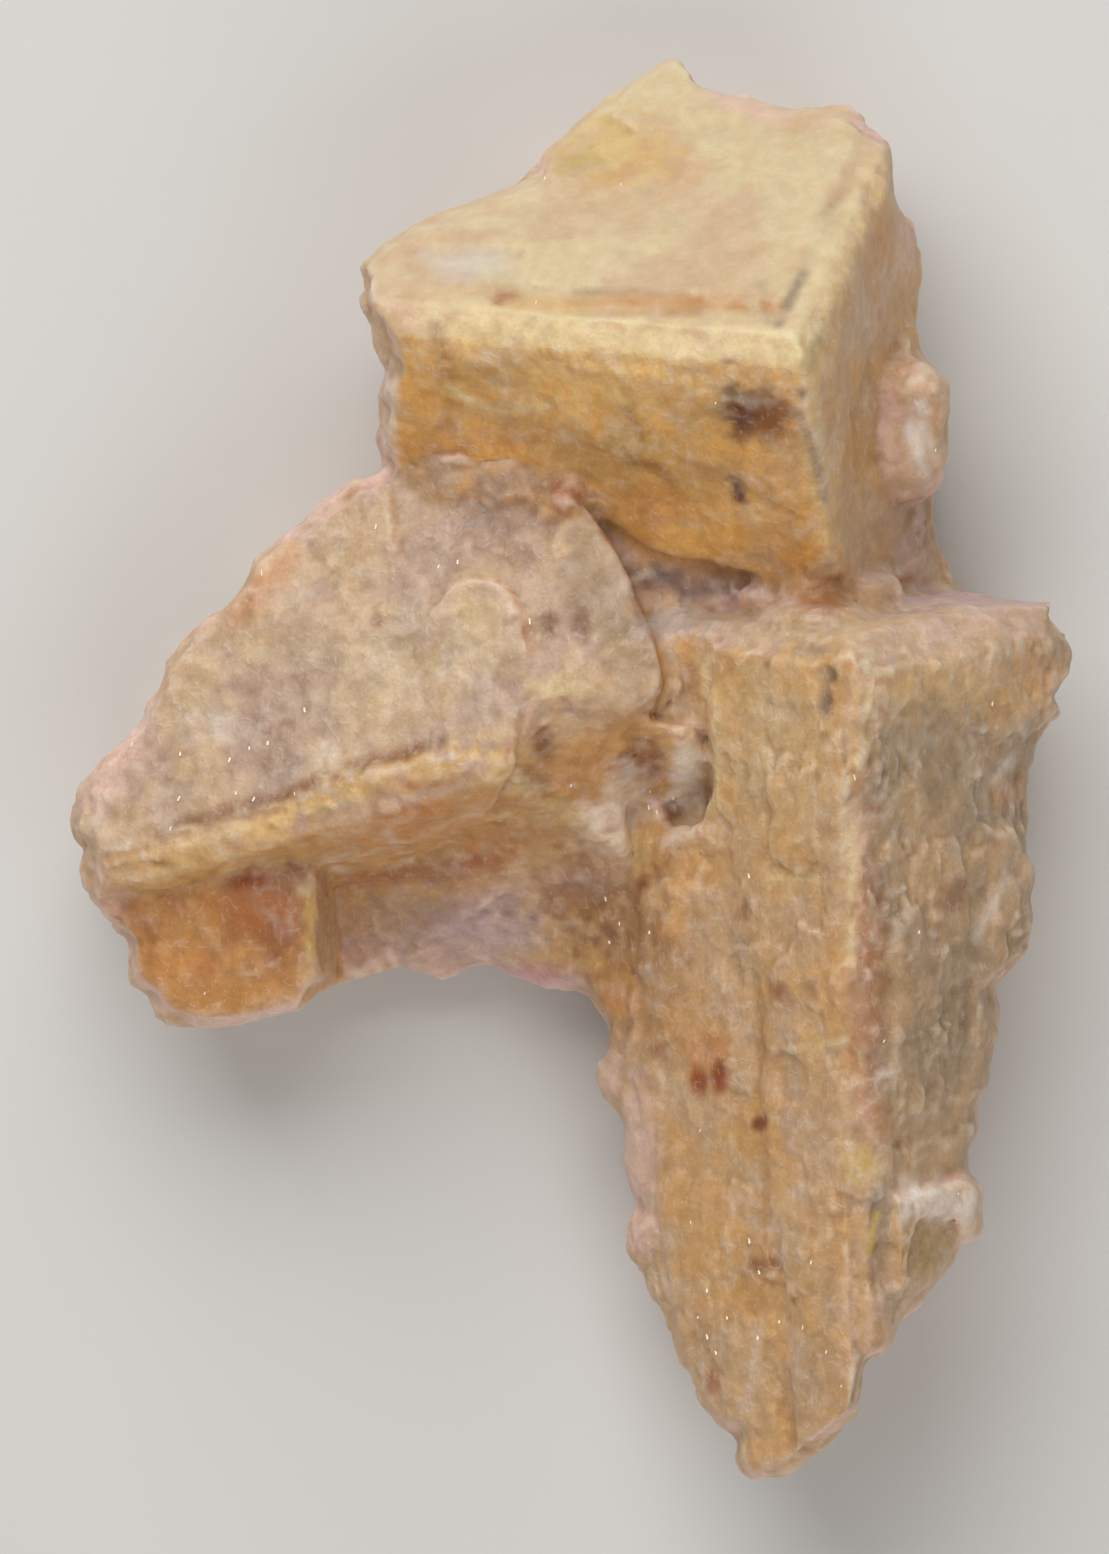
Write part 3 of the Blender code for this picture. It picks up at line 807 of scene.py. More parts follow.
POCKET_MARKS = (
    Patch("ochre under lip", (628, 733), (40, 16), Tint.OCHRE, 0.6),
    # Red-brown of the pocket, darkened further as painted shade in the hollow.
    Patch("red pocket with painted shade", (643, 762), (27, 27), Tint.BROWN, 0.85),
    Patch("white pocket", (690, 778), (20, 44), Tint.FROST, 0.85),
    Patch("pale pocket slope", (618, 811), (30, 52), Tint.FROST, 0.55, -35),
    Patch("brown beside the strip", (684, 694), (20, 28), Tint.BROWN, 0.3, ragged=0.5),
    Patch("red foot of the corner", (598, 900), (50, 46), Tint.BROWN, 0.51, ragged=0.6),
    # Painted shade at the bottom of the pocket.
    Patch("painted shade in the pocket", (674, 816), (14, 12), Tint.UMBER, 0.72),
    Stroke("pocket ridge", ((668, 843), (708, 831)), 6, Tint.FROST, 0.5, 0.1),
    Stroke("diagonal band", ((500, 770), (560, 806), (640, 850)), 12, Tint.STRAW, 0.35, 0.08),
)

LOWER_MARKS = (
    Patch("dark under the strip", (640, 960), (50, 90), Tint.BROWN, 0.29, ragged=0.6),
    Patch("lavender rim", (680, 627), (46, 18), Tint.ICE, 0.7),
    Patch("grey rim", (750, 628), (110, 18), Tint.GREY, 0.55),
    Patch("beige rim", (800, 629), (70, 15), Tint.BEIGE, 0.4),
    Patch("pale shoulder", (960, 615), (90, 14), Tint.BEIGE, 0.5),
    Stroke("strip left edge", ((710, 665), (708, 694), (718, 710), (713, 808)), 7, Tint.STRAW, 0.5, 0.1),
    Stroke(
        "strip right edge", ((868, 658), (868, 749), (853, 772), (848, 788), (850, 860)),
        6, Tint.STRAW, 0.5, 0.08,
    ),
    Patch("upper pit", (830, 678), (6, 9), Tint.UMBER, 0.7, 0, -0.15),
    Patch("slit", (824, 707), (7, 18), Tint.SLATE, 0.8, -8, -0.2),
    Patch("lower pit", (824, 737), (6, 6), Tint.UMBER, 0.5, 0, -0.1),
    Patch("left pit", (783, 733), (5, 5), Tint.UMBER, 0.5),
    Patch("far left pit", (765, 666), (5, 5), Tint.UMBER, 0.5),
    Patch("third pit", (821, 775), (5, 5), Tint.UMBER, 0.5),
    Patch("grey smudge", (806, 652), (26, 6), Tint.SLATE, 0.51),
    Patch("brown smudge", (769, 700), (14, 11), Tint.BROWN, 0.41),
    Patch("bright shoulder", (960, 662), (100, 50), Tint.BEIGE, 0.6),
    Patch("golden shoulder", (965, 690), (90, 26), Tint.GOLD, 0.5, ragged=0.5),
    Patch("cream strip", (780, 740), (66, 120), Tint.CREAM, 0.35),
    Patch("amber shoulder", (1028, 684), (42, 34), Tint.ORANGE, 0.25),
    Patch("olive block", (912, 792), (40, 38), Tint.OLIVE, 0.2, 0, 0.1),
    Patch("amber block", (1008, 792), (20, 18), Tint.ORANGE, 0.35),
    Patch("shade beside the strip", (868, 990), (18, 180), Tint.RUSSET, 0.55, ragged=0.5),
    Stroke("white streak", ((882, 791), (870, 817)), 5, Tint.FROST, 0.5),
    Stroke("white streak right", ((996, 782), (1016, 762)), 5, Tint.FROST, 0.5),
    Stroke("white streak low", ((975, 938), (1002, 877)), 5, Tint.FROST, 0.5),
    Patch("brown hollow", (952, 897), (20, 17), Tint.BROWN, 0.45, 0, -0.15),
    Patch("pale seam band", (790, 1060), (10, 90), Tint.DOVE, 0.55),
    Stroke("cross line", ((770, 880), (816, 880)), 4, Tint.STRAW, 0.5, 0.05),
    Stroke("cross line low", ((770, 1050), (810, 1046), (846, 1038)), 4, Tint.STRAW, 0.5, 0.05),
    Patch("dark square", (780, 991), (11, 13), Tint.BROWN, 0.5, 0, -0.08),
    Patch("dark square right", (811, 988), (8, 10), Tint.BROWN, 0.45, 0, -0.08),
    Stroke("seam", ((764, 972), (762, 1085), (766, 1180), (770, 1250)), 6, Tint.OCHRE, 0.5, -0.08),
    Stroke("pale upright", ((851, 871), (851, 956)), 5, Tint.STRAW, 0.45, 0.06),
    Patch("brown spot", (745, 910), (8, 12), Tint.BROWN, 0.58),
    Patch("rust cloud", (707, 1050), (26, 26), Tint.ORANGE, 0.55),
    Patch("rust spot left", (699, 1083), (9, 13), Tint.RUST, 0.95, 0, -0.06),
    Patch("rust spot right", (722, 1077), (10, 15), Tint.RUST, 0.95, 0, -0.06),
    Patch("brown freckle", (660, 1050), (14, 10), Tint.BROWN, 0.58),
    Patch("brown knot", (762, 1122), (8, 11), Tint.BROWN, 0.94, 0, -0.08),
    Patch("white knot", (886, 1070), (8, 8), Tint.FROST, 0.5),
    Patch("amber left rim", (620, 1003), (24, 12), Tint.ORANGE, 0.5),
    Patch("pink bump", (611, 1077), (16, 24), Tint.PINK, 0.7),
    Patch("pink lower bump", (644, 1238), (20, 26), Tint.PINK, 0.7),
    Patch("pink left rim", (640, 1160), (20, 85), Tint.PINK, 0.8),
    Patch("yellow step", (862, 1165), (22, 22), Tint.YELLOW, 0.5, 0, 0.1),
    Patch("pale ledge", (932, 1200), (52, 22), Tint.FROST, 0.8),
    Patch("olive hollow", (925, 1244), (30, 26), Tint.OLIVE, 0.45),
    Stroke("gold line", ((880, 1213), (872, 1250)), 4, Tint.YELLOW, 0.6),
    Patch("brown smudge low", (768, 1262), (20, 9), Tint.BROWN, 0.72),
    Patch("red smudge low", (712, 1382), (10, 13), Tint.RUST, 0.58),
    Stroke("white seam low", ((758, 1323), (756, 1362), (752, 1388)), 5, Tint.FROST, 0.4),
)
MARKS = UPPER_MARKS + GAP_TONE_AND_PAINTED_SHADE + LEFT_MARKS + SMALL_MARKS + POCKET_MARKS + LOWER_MARKS

GLINT_SPOTS = (
    (379, 530), (460, 564), (532, 624), (266, 578), (307, 712), (270, 744), (251, 749), (232, 761),
    (180, 798), (239, 795), (255, 801), (172, 831), (132, 744), (184, 755), (438, 568), (611, 944),
    (623, 924), (652, 933), (750, 878), (609, 899), (673, 796), (651, 791), (650, 808), (658, 816),
    (990, 705), (856, 778), (708, 1290), (697, 1315), (706, 1335), (715, 1352), (728, 1315), (758, 1335),
    (778, 1320), (804, 1323), (827, 1349), (816, 1258), (762, 1270), (752, 1237), (880, 1040), (912, 930),
)


@dataclass
class Stone:
    """The whole specimen as one carved and coloured mesh."""

    voxel: float = 0.175
    wear_rounds: int = 6
    foot: float = 0.9
    plate_blocks: tuple[float, float, float] = (1.5, 1.5, 2.2)
    small_blocks: tuple[float, float, float] = (0.8, 0.8, 1.05)
    block_bend: float = 0.18
    wave_size: float = 2.2
    crumb_size: float = 0.6
    plate_size: float = 4.0
    step_size: float = 1.8
    step_share: float = 0.5
    stria_size: tuple[float, float, float] = (0.6, 0.6, 7.0)
    streak_size: tuple[float, float, float] = (0.5, 0.5, 2.6)
    shade: float = 0.05
    shade_tint: Rgb = (0.85, 1.0, 1.15)
    border_frost: float = 0.30
    # Ridges paled towards frost: partly worn edges, partly painted light glowing through thin edges.
    ridge_frost_and_painted_glow: float = 0.35
    # Painted shade in hollows: how strongly concave points are darkened, and the brownish colour they darken
    # towards.
    painted_hollow_shade: float = 0.40
    painted_hollow_shade_tint: Rgb = (0.74, 0.58, 0.44)
    most_triangles: int = 192000
    wall_share: float = 0.70
    skin: Skin = field(init=False)
    base: np.ndarray = field(init=False)
    plan: np.ndarray = field(init=False)
    seen: np.ndarray = field(init=False)
    shares: dict[tuple[str, str], np.ndarray] = field(init=False)
    broken: np.ndarray = field(init=False)
    grain: np.ndarray = field(init=False)
    plates: Mosaic = field(init=False)
    mosaic: Mosaic = field(init=False)

    def cover(self, source: bpy.types.Object) -> None:
        """Copies the solid, merges its loose triangles and covers it with even faces a voxel wide.

        The hollows are cut out of the copy, and the fillers join it, before it is covered.

        Args:
            source: The solid's object, which stays as it is.
        """
        merged = bmesh.new()
        merged.from_mesh(source.data)
        bmesh.ops.remove_doubles(merged, verts=merged.verts, dist=1e-6)
        bmesh.ops.scale(merged, verts=merged.verts, vec=Vector((1.0, 1.0, 1.0)) / MILLIMETRE)
        copy = bpy.data.meshes.new("copy")
        merged.to_mesh(copy)
        merged.free()
        for hollow in HOLLOWS:
            shape = ellipsoids((hollow,))
            cutter = placed("cutter", shape)
            copy = modified(copy, "BOOLEAN", object=cutter, operation="DIFFERENCE", solver="EXACT")
            bpy.data.objects.remove(cutter)
            bpy.data.meshes.remove(shape)
        fillers = ellipsoids(FILLERS)
        whole = bmesh.new()
        whole.from_mesh(copy)
        whole.from_mesh(fillers)
        whole.to_mesh(copy)
        whole.free()
        bpy.data.meshes.remove(fillers)
        mesh = modified(copy, "REMESH", mode="VOXEL", voxel_size=self.voxel)
        points = read(mesh.vertices, "co", 3).astype(float)
        self.skin = Skin(mesh, points, read(mesh.edges, "vertices", 2, np.int32))

    def wear(self) -> None:
        """Rounds the edges by evening the points out, more so where the stone is melted together."""
        skin = self.skin
        self.base = (skin.points[:, 2] < 0.5 * self.voxel) & (skin.normals[:, 2] < -0.5)
        for crystal in CRYSTALS:
            skin.points = crystal.bevelled(skin.points)
        skin.points = skin.spread(skin.points, self.wear_rounds)
        self.plan = on_photo(skin.points)
        ripple = lumps(skin.points, 0.9, Seed.RAGGED, 2)
        skin.update()
        seen = skin.spread(skin.seen_from_above(slack=2.2), 3)
        for swell in SWELLS:
            skin.points[:, 2] += swell.rise * seen * swell.weight(self.plan, ripple)
        evened = skin.points
        done = 0
        for melt in sorted(MELTED, key=lambda one: one.rounds):
            evened = skin.spread(evened, melt.rounds - done)
            done = melt.rounds
            weight = (seen * melt.weight(self.plan, ripple))[:, None]
            skin.points = skin.points + weight * (evened - skin.points)
        skin.update()

    def survey(self) -> None:
        """Works out to which crystal and face each point belongs, and which points face the viewer."""
        skin = self.skin
        self.plan = on_photo(skin.points)
        self.seen = skin.seen_from_above()
        self.shares = {}
        claim = []
        everywhere = []
        for crystal in CRYSTALS:
            coordinates = crystal.coordinates(skin.points)
            total = np.zeros(len(skin.points))
            for face in crystal.faces:
                share = crystal.share(face, skin.normals, coordinates)
                self.shares[crystal.name, face.name] = share
                total = total + share
            claim.append(3.0 * total - 0.2 * np.abs(crystal.depth_outside(coordinates)))
            everywhere.append(coordinates + 50.0 * len(everywhere))
        whole = sum(self.shares.values())
        for share in self.shares.values():
            share /= np.maximum(whole, 1.0)
        self.broken = np.clip(1.0 - whole, 0.0, 1.0)
        owner = np.argmax(claim, axis=0)
        self.grain = np.stack(everywhere)[owner, np.arange(len(owner))]
        bend = np.stack([lumps(skin.points, 0.9, Seed.BENT + k, 2) for k in range(3)], axis=1)
        bent = self.grain + self.block_bend * bend
        self.plates = Mosaic.cut(bent, self.plate_blocks, Seed.PLATES)
        self.mosaic = Mosaic.cut(bent, self.small_blocks, Seed.BLOCKS)

    def amount(self, name: str) -> np.ndarray:
        """Gives each point one of the faces' depths or strengths, evened out across the faces' borders.

        Args:
            name: The depth or strength, as Relief names it.

        Returns:
            Its amount at each point.
        """
        depth = self.broken * getattr(BROKEN, name)
        for crystal in CRYSTALS:
            for face in crystal.faces:
                depth = depth + self.shares[crystal.name, face.name] * getattr(face.relief, name)
        return self.skin.spread(depth, 3)

    def carve(self) -> None:
        """Moves the points along their normals by waves, crumbs, growth plates, blocks and striations.

        Each layer is a noise of its own size times the depth that the face asks for. Growth plates are
        stepped levels with the outlines of blocks, and blocks stand out by random amounts. The marks add
        their own rise, and the foot of the stone fades out of all of it.
        """
        skin = self.skin
        place = skin.points
        rise = self.amount("waves") * lumps(place, self.wave_size, Seed.WAVES, 2)
        rise += self.amount("crumb") * lumps(place, self.crumb_size, Seed.CRUMB, 2)
        rise += self.amount("plates") * self.plates.levels(self.plate_size, 2.5, Seed.LEVELS)
        rise += self.step_share * self.amount("plates") * self.mosaic.levels(self.step_size, 2.0, Seed.STEPS)
        rise += self.amount("blocks") * self.mosaic.chance
        rise -= self.amount("blocks") * ramp(self.mosaic.border, 0.22, 0.0)
        rise += self.amount("striae") * lumps(self.grain, self.stria_size, Seed.STRIAE)
        ripple = lumps(place, 0.7, Seed.RAGGED, 2)
        for mark in MARKS:
            if mark.rise:
                rise += mark.rise * self.seen * mark.weight(self.plan, ripple)
        rise *= ramp(place[:, 2], 0.1, self.foot)
        skin.points = place + skin.normals * rise[:, None]
        skin.points = skin.spread(skin.points, 1)
        self.settle()
        skin.update()

    def settle(self) -> None:
        """Puts the base back on its plane, and stretches the points to the solid's own box."""
        points = self.skin.points
        low, high = (np.array(corner) / MILLIMETRE for corner in CAD_BOX)
        points[:] = low + (points - points.min(axis=0)) / np.ptp(points, axis=0) * (high - low)
        points[self.base, 2] = 0.0

    def paint(self) -> np.ndarray:
        """Colours the points: two tints for each face, blocks and streaks, the marks (among them painted
        shade and painted light), worn ridges that are also paled as painted glow, and painted shade in
        hollows.

        Returns:
            Red, green and blue as light, shape (n, 3).
        """
        skin = self.skin
        place = skin.points
        mottle = lumps(place, 3.4, Seed.MOTTLE, 3) + 0.5 * lumps(place, 0.9, Seed.FINE_MOTTLE, 2)
        mix = ramp(mottle, -0.9, 0.9)[:, None]
        colour = self.broken[:, None] * (mix * Tint.PINK.linear + (1.0 - mix) * Tint.TAN.linear)
        for crystal in CRYSTALS:
            coordinates = crystal.coordinates(place)
            for face in crystal.faces:
                tone = (1.0 - mix) * face.main.linear + mix * face.other.linear
                rim = ramp(coordinates[:, face.others].min(axis=1), 1.3, 0.2)[:, None] * face.edge_strength
                tone = tone + rim * (face.edge.linear - tone)
                colour += self.shares[crystal.name, face.name][:, None] * tone
        ripple = lumps(place, 0.55, Seed.RAGGED, 2)
        for mark in MARKS:
            weight = (mark.strength * self.seen * mark.weight(self.plan, ripple))[:, None]
            colour += weight * (mark.tint.linear - colour)
        contrast = self.amount("contrast")
        streaks = lumps(self.grain, self.streak_size, Seed.STREAKS, 2)
        shade = self.shade * self.mosaic.chance + self.shade * self.plates.chance + self.shade * streaks
        colour *= 1.0 + (contrast * shade)[:, None] * np.array(self.shade_tint)
        border = ramp(self.mosaic.border, 0.16, 0.02) * ramp(lumps(place, 1.3, Seed.FROST, 2), -0.1, 0.5)
        colour += (self.border_frost * contrast * border)[:, None] * (Tint.FROST.linear - colour)
        stands = skin.spread(skin.curvature(9), 1)
        # Convex points are paled towards frost: partly wear, partly a painted glow of light through thin
        # edges.
        ridge = ramp(stands, 0.01, 0.08)[:, None] * self.ridge_frost_and_painted_glow
        # Painted shade: concave points are darkened towards brown, as if shade falls in a crevice.
        hollow = ramp(stands, -0.01, -0.09)[:, None] * self.painted_hollow_shade
        colour += ridge * (Tint.FROST.linear - colour)
        colour *= 1.0 - hollow * (1.0 - np.array(self.painted_hollow_shade_tint))
        return skin.spread(colour, 1)

    def build(self, source: bpy.types.Object, material: bpy.types.Material) -> bpy.types.Object:
        """Makes the finished stone.

        Args:
            source: The solid's object.
            material: The finish.

        Returns:
            The stone's object, at the origin, with its colours and crystal coordinates as attributes.
        """
        self.cover(source)
        self.wear()
        self.survey()
        self.carve()
        colour = self.paint()
        mesh = self.skin.mesh
        layers = {
            "tint": ("FLOAT_COLOR", "color", np.column_stack([colour, np.ones(len(colour))])),
            "grain": ("FLOAT_VECTOR", "vector", self.grain),
            "contrast": ("FLOAT", "value", self.amount("contrast")),
            "hidden": ("FLOAT", "value", 1.0 - self.skin.spread(self.seen, 2)),
        }
        for name, (kind, slot, values) in layers.items():
            layer = mesh.attributes.new(name, kind, "POINT")
            layer.data.foreach_set(slot, values.astype(np.float32).ravel())
        mesh.vertices.foreach_set("co", (self.skin.points * MILLIMETRE).astype(np.float32).ravel())
        mesh.update()
        mesh = self.thinned(self.with_plain_base(mesh))
        mesh.shade_smooth()
        mesh.materials.clear()
        mesh.materials.append(material)
        return placed("fluorite_stone", mesh)

    def with_plain_base(self, mesh: bpy.types.Mesh) -> bpy.types.Mesh:
        """Makes the flat base one face, since it needs no grid.

        Args:
            mesh: The carved stone.

        Returns:
            The same mesh.
        """
        bm = bmesh.new()
        bm.from_mesh(mesh)
        flat = [f for f in bm.faces if all(v.co.z == 0.0 for v in f.verts)]
        bmesh.ops.dissolve_faces(bm, faces=flat, use_verts=True)
        bm.to_mesh(mesh)
        bm.free()
        return mesh

    def thinned(self, mesh: bpy.types.Mesh) -> bpy.types.Mesh:
        """Joins small faces where they matter least: first on the hidden walls, then where it is flat.

        Args:
            mesh: The stone with its even grid.

        Returns:
            A mesh with about the most triangles that it may have.
        """
        hidden = np.flatnonzero(read(mesh.attributes["hidden"].data, "value", 1) > 0.5).tolist()
        walls = {"groups": {"hidden": hidden}, "vertex_group": "hidden", "vertex_group_factor": 1.0}
        for share, limits in ((self.wall_share, walls), (1.0, {})):
            triangles = count_triangles(mesh)
            ratio = min(1.0, self.most_triangles / share / triangles)
            LOG.info("even grid: %d triangles, ratio %.3f", triangles, ratio)
            mesh = modified(mesh, "DECIMATE", ratio=ratio, use_collapse_triangulate=True, **limits)
        return mesh


class Bench:
    """Lays out the nodes of one material."""

    def __init__(self, name: str) -> None:
        """Starts an empty material."""
        self.material = bpy.data.materials.new(name)
        self.material.use_nodes = True
        self.tree = self.material.node_tree
        self.tree.nodes.clear()

    def add(
        self, kind: str, sockets: dict[str | int, object] | None = None, **settings: object
    ) -> bpy.types.Node:
        """Adds a node.

        Args:
            kind: The node's type without its ShaderNode prefix.
            sockets: Input names with a value or another node's output.
            settings: The node's own properties.

        Returns:
            The node.
        """
        node = self.tree.nodes.new("ShaderNode" + kind)
        for name, value in settings.items():
            setattr(node, name, value)
        for name, value in (sockets or {}).items():
            if isinstance(value, bpy.types.NodeSocket):
                self.tree.links.new(value, node.inputs[name])
            else:
                node.inputs[name].default_value = value
        return node

    def noise(self, vector: bpy.types.NodeSocket, scale: float, detail: float = 2.0) -> bpy.types.NodeSocket:
        """Smooth noise from 0 to 1."""
        sockets = {"Vector": vector, "Scale": scale, "Detail": detail, "Roughness": 0.55}
        return self.add("TexNoise", sockets).outputs["Fac"]

    def grade(
        self, value: bpy.types.NodeSocket, low: float, high: float, start: float = 0.0, end: float = 1.0
    ) -> bpy.types.NodeSocket:
        """Goes smoothly from start to end as the value goes from low to high."""
        sockets = {"Value": value, "From Min": low, "From Max": high, "To Min": start, "To Max": end}
        return self.add("MapRange", sockets, interpolation_type="SMOOTHSTEP").outputs["Result"]

    def math(self, operation: str, a: object, b: object = 0.0) -> bpy.types.NodeSocket:
        """One operation on two numbers."""
        return self.add("Math", {0: a, 1: b}, operation=operation).outputs["Value"]

    def mix(self, factor: object, a: object, b: object, blend: str = "MIX") -> bpy.types.NodeSocket:
        """Mixes two colours."""
        sockets = {"Fac": factor, "Color1": a, "Color2": b}
        return self.add("MixRGB", sockets, blend_type=blend).outputs["Color"]

    def shade(
        self, value: bpy.types.NodeSocket, low: float, high: float, dark: Rgb, light: Rgb
    ) -> bpy.types.NodeSocket:
        """Goes from the dark colour to the light one as the value goes from low to high."""
        return self.mix(self.grade(value, low, high), (*dark, 1.0), (*light, 1.0))

    def finish(self, sockets: dict[str, object]) -> bpy.types.Material:
        """Ends the material in one shader.

        Args:
            sockets: The shader's inputs.

        Returns:
            The material.
        """
        shader = self.add("BsdfPrincipled", sockets)
        self.add("OutputMaterial", {"Surface": shader.outputs["BSDF"]})
        return self.material


@dataclass(frozen=True)
class FluoriteFinish:
    """Waxy, cloudy fluorite: small blocks, streaks along the cube's edges, mottling and a soft depth."""

    mottle: float = 0.6
    speckle: float = 0.17
    wrinkle: float = 1.3
    roughness: float = 0.45
    depth: float = 1.4
    glow: float = 0.65
    glow_reach: Rgb = (1.0, 0.62, 0.36)
    mottle_shades: tuple[Rgb, Rgb] = ((0.91, 0.88, 0.84), (1.07, 1.07, 1.08))
    speckle_shades: tuple[Rgb, Rgb] = ((0.97, 0.96, 0.95), (1.03, 1.03, 1.04))
    dash_scale: tuple[float, float, float] = (6.5, 6.5, 2.2)
    dash_frost: float = 0.22
    wrinkle_frost: float = 0.22
    speckle_rise: float = 0.012
    mottle_rise: float = 0.10
    wrinkle_rise: float = 0.03
    bump: float = 0.9

    def material(self) -> bpy.types.Material:
        """Builds the material.

        Returns:
            The finish, which reads Object coordinates and the stone's own attributes.
        """
        bench = Bench("cloudy_fluorite")
        place = bench.add("TexCoord").outputs["Object"]
        grain = bench.add("Attribute", attribute_name="grain").outputs["Vector"]
        tint = bench.add("Attribute", attribute_name="tint").outputs["Color"]
        contrast = bench.add("Attribute", attribute_name="contrast").outputs["Fac"]
        cloud = bench.noise(place, 1.0 / (self.mottle * MILLIMETRE), 3.0)
        speck = bench.noise(place, 1.0 / (self.speckle * MILLIMETRE), 0.0)
        along = bench.add("Mapping", {"Vector": grain, "Scale": self.dash_scale}).outputs["Vector"]
        dashes = bench.grade(bench.noise(along, 1.0, 1.0), 0.62, 0.78, 0.0, self.dash_frost)
        fold = bench.noise(place, 1.0 / (self.wrinkle * MILLIMETRE), 1.5)
        ridge = bench.math("ABSOLUTE", bench.math("SUBTRACT", fold, 0.5))
        crease = bench.grade(ridge, 0.0, 0.03, 1.0, 0.0)
        wrinkle = bench.math("MULTIPLY", crease, bench.grade(cloud, 0.45, 0.6))
        varied = tint
        for pattern, dark, light in ((cloud, *self.mottle_shades), (speck, *self.speckle_shades)):
            varied = bench.mix(1.0, varied, bench.shade(pattern, 0.3, 0.7, dark, light), "MULTIPLY")
        pale = bench.math("MAXIMUM", dashes, bench.math("MULTIPLY", wrinkle, self.wrinkle_frost))
        varied = bench.mix(pale, varied, (*Tint.FROST.linear.tolist(), 1.0))
        colour = bench.mix(contrast, tint, varied)
        height = bench.math("MULTIPLY", speck, self.speckle_rise)
        for pattern, rise in ((cloud, self.mottle_rise), (wrinkle, self.wrinkle_rise)):
            height = bench.math("ADD", height, bench.math("MULTIPLY", pattern, rise))
        height = bench.math("MULTIPLY", height, contrast)
        bump = bench.add("Bump", {"Strength": self.bump, "Distance": MILLIMETRE, "Height": height})
        rough = bench.grade(cloud, 0.3, 0.7, self.roughness - 0.1, self.roughness + 0.1)
        return bench.finish({
            "Base Color": colour,
            "Roughness": rough,
            "IOR": FLUORITE_IOR,
            "Subsurface Weight": self.glow,
            "Subsurface Radius": self.glow_reach,
            "Subsurface Scale": self.depth * MILLIMETRE,
            "Normal": bump.outputs["Normal"],
        })


@dataclass(frozen=True)
class GlintFinish:
    """Bright cleavage faces that throw the light back."""

    colour: Rgb = (0.90, 0.80, 0.62)

    def material(self) -> bpy.types.Material:
        """Builds the material."""
        sockets = {"Base Color": (*self.colour, 1.0), "Metallic": 0.15, "Roughness": 0.4, "IOR": FLUORITE_IOR}
        return Bench("bright_cleavage").finish(sockets)


@dataclass
class Glints:
    """Small flat chips on the stone, tilted so that the window shines in them from above."""

    spots: tuple[Pixel, ...]
    scattered: int = 12
    sizes: tuple[float, float] = (0.035, 0.07)
    stretch: tuple[float, float, float] = (1.0, 3.2, 0.6)
    named_size: float = 1.3
    turns: tuple[float, float] = (-0.45, 0.25)
    tilt: float = 22.0
    tilt_spread: float = 5.0
    sway: float = 0.08
    lift: float = 0.02
    highest: float = 22.5

    def build(self, stone: Stone, material: bpy.types.Material) -> bpy.types.Object:
        """Makes all chips as one mesh of boxes.

        Each chip is a flat box with its own length, width and turn. Its top leans towards the window by
        about the tilt, and its middle is on the surface point that is nearest in plan, or on a drawn one.

        Args:
            stone: The finished stone's arrays.
            material: The finish.

        Returns:
            The chips' object.
        """
        draw = np.random.default_rng(Seed.CHIPS)
        open_points = np.flatnonzero((stone.seen > 0.95) & (stone.skin.points[:, 2] < self.highest))
        plan = stone.plan[open_points]
        named = [open_points[np.argmin(((plan - spot) ** 2).sum(axis=1))] for spot in self.spots]
        chosen = np.concatenate([named, draw.choice(open_points, self.scattered, replace=False)])
        count = len(chosen)
        size = draw.uniform(*self.sizes, (count, 3)) * self.stretch
        size[: len(named)] *= self.named_size
        turn = draw.uniform(*self.turns, count)
        lean = np.radians(self.tilt + draw.normal(0.0, self.tilt_spread, count))
        side = np.stack([np.cos(turn), np.sin(turn) * np.cos(lean), -np.sin(turn) * np.sin(lean)], axis=1)
        up = np.stack([draw.normal(0.0, self.sway, count), np.sin(lean), np.cos(lean)], axis=1)
        up -= (up * side).sum(axis=1, keepdims=True) * side
        up /= np.linalg.norm(up, axis=1, keepdims=True)
        axes = np.stack([side, np.cross(up, side), up], axis=1)
        corners = np.array(list(np.ndindex(2, 2, 2)), float) - 0.5
        shape = np.einsum("kc,nc,ncd->nkd", corners, size, axes)
        points = (stone.skin.points[chosen] + self.lift * stone.skin.normals[chosen])[:, None] + shape
        box = np.array(((0, 1, 3, 2), (4, 6, 7, 5), (0, 4, 5, 1), (2, 3, 7, 6), (0, 2, 6, 4), (1, 5, 7, 3)))
        faces = (8 * np.arange(count)[:, None, None] + box).reshape(-1, 4)
        mesh = bpy.data.meshes.new("cleavage_glints")
        mesh.from_pydata((points.reshape(-1, 3) * MILLIMETRE).tolist(), [], faces.tolist())
        mesh.materials.append(material)
        return placed("cleavage_glints", mesh)


@dataclass(frozen=True)
class Lamp:
    """One soft square light that looks at the stone."""

    name: str
    place: tuple[float, float, float]
    size: float
    power: float
    colour: Rgb = (1.0, 1.0, 1.0)

    def build(self) -> None:
        """Adds the light to the scene, at a place in metres."""
        light = bpy.data.lights.new(self.name, "AREA")
        light.energy = self.power
        light.size = self.size
        light.color = self.colour
        lamp = placed(self.name, light)
        lamp.location = self.place
        lamp.rotation_euler = (-Vector(self.place)).to_track_quat("-Z", "Y").to_euler()


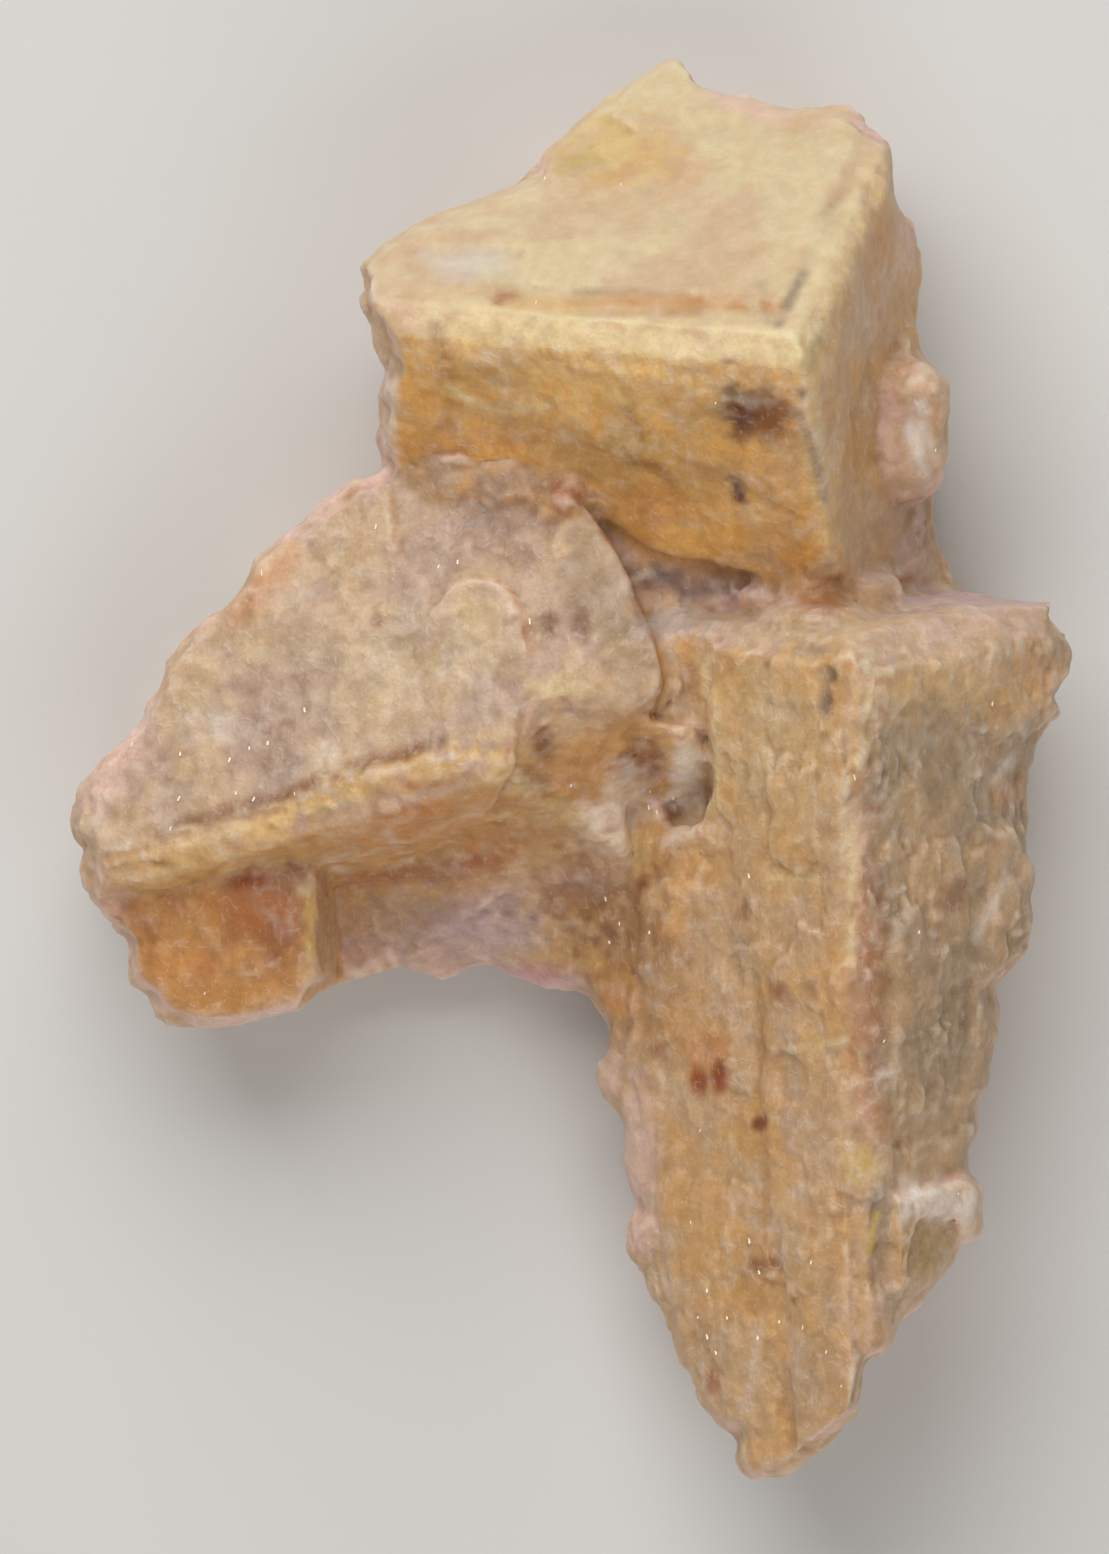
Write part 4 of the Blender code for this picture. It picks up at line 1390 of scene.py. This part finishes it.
@dataclass(frozen=True)
class Studio:
    """A pale floor, soft daylight from the far side, and a camera that looks straight down."""

    lamps: tuple[Lamp, ...] = (
        Lamp("window", (-0.10, 0.34, 0.36), 0.45, 2.05, (1.0, 0.985, 0.96)),
        Lamp("fill", (0.10, -0.34, 0.34), 0.45, 0.84, (1.0, 0.98, 0.96)),
    )
    sky: float = 0.21
    floor_size: float = 3.0
    floor_drop: float = 0.02
    lens: float = 1200.0
    sensor: float = 36.0
    view_height: float = 8.0

    def floor(self) -> bpy.types.Object:
        """Lays the pale floor just under the stone.

        Returns:
            The floor.
        """
        bench = Bench("pale_floor")
        place = bench.add("TexCoord").outputs["Object"]
        tone = bench.shade(bench.noise(place, 30.0), 0.3, 0.7, (0.74, 0.735, 0.72), (0.77, 0.765, 0.75))
        half = 0.5 * self.floor_size
        drop = -self.floor_drop * MILLIMETRE
        corners = [(x * half, y * half, drop) for x, y in ((-1, -1), (1, -1), (1, 1), (-1, 1))]
        mesh = bpy.data.meshes.new("floor")
        mesh.from_pydata(corners, [], [(0, 1, 2, 3)])
        mesh.materials.append(bench.finish({"Base Color": tone, "Roughness": 0.8}))
        return placed("floor", mesh)

    def camera(self) -> None:
        """Sets the camera over the stone so that it frames the photograph's whole height."""
        data = bpy.data.cameras.new("camera")
        data.lens = self.lens
        data.sensor_width = self.sensor
        data.clip_start = 0.01
        data.clip_end = 20.0
        camera = placed("camera", data)
        middle = on_stone((PHOTO_SIZE[0] / 2, PHOTO_SIZE[1] / 2))
        distance = PHOTO_SIZE[1] * PIXEL * self.lens / self.sensor
        camera.location = Vector((*middle, self.view_height + distance)) * MILLIMETRE
        bpy.context.scene.camera = camera

    def build(self) -> bpy.types.Object:
        """Builds the floor, the light and the camera.

        Returns:
            The floor.
        """
        for lamp in self.lamps:
            lamp.build()
        world = bpy.data.worlds.new("daylight")
        world.use_nodes = True
        sky = world.node_tree.nodes["Background"]
        sky.inputs["Color"].default_value = (1.0, 0.99, 0.97, 1.0)
        sky.inputs["Strength"].default_value = self.sky
        bpy.context.scene.world = world
        bpy.context.scene.view_settings.view_transform = "Standard"
        cycles = bpy.context.scene.cycles
        cycles.max_bounces = 5
        cycles.diffuse_bounces = 2
        cycles.glossy_bounces = 2
        self.camera()
        return self.floor()


def main() -> None:
    """Builds the studio and the stone, hides the solid, and attaches the stone and its chips to the root."""
    Studio().build()
    maker = Stone()
    stone = maker.build(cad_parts[NODE], FluoriteFinish().material())
    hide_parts(NODE)
    for piece in (stone, Glints(GLINT_SPOTS).build(maker, GlintFinish().material())):
        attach(piece, "root")
        LOG.info("%s: %d triangles", piece.name, count_triangles(piece.data))


if __name__ == "__main__":
    main()
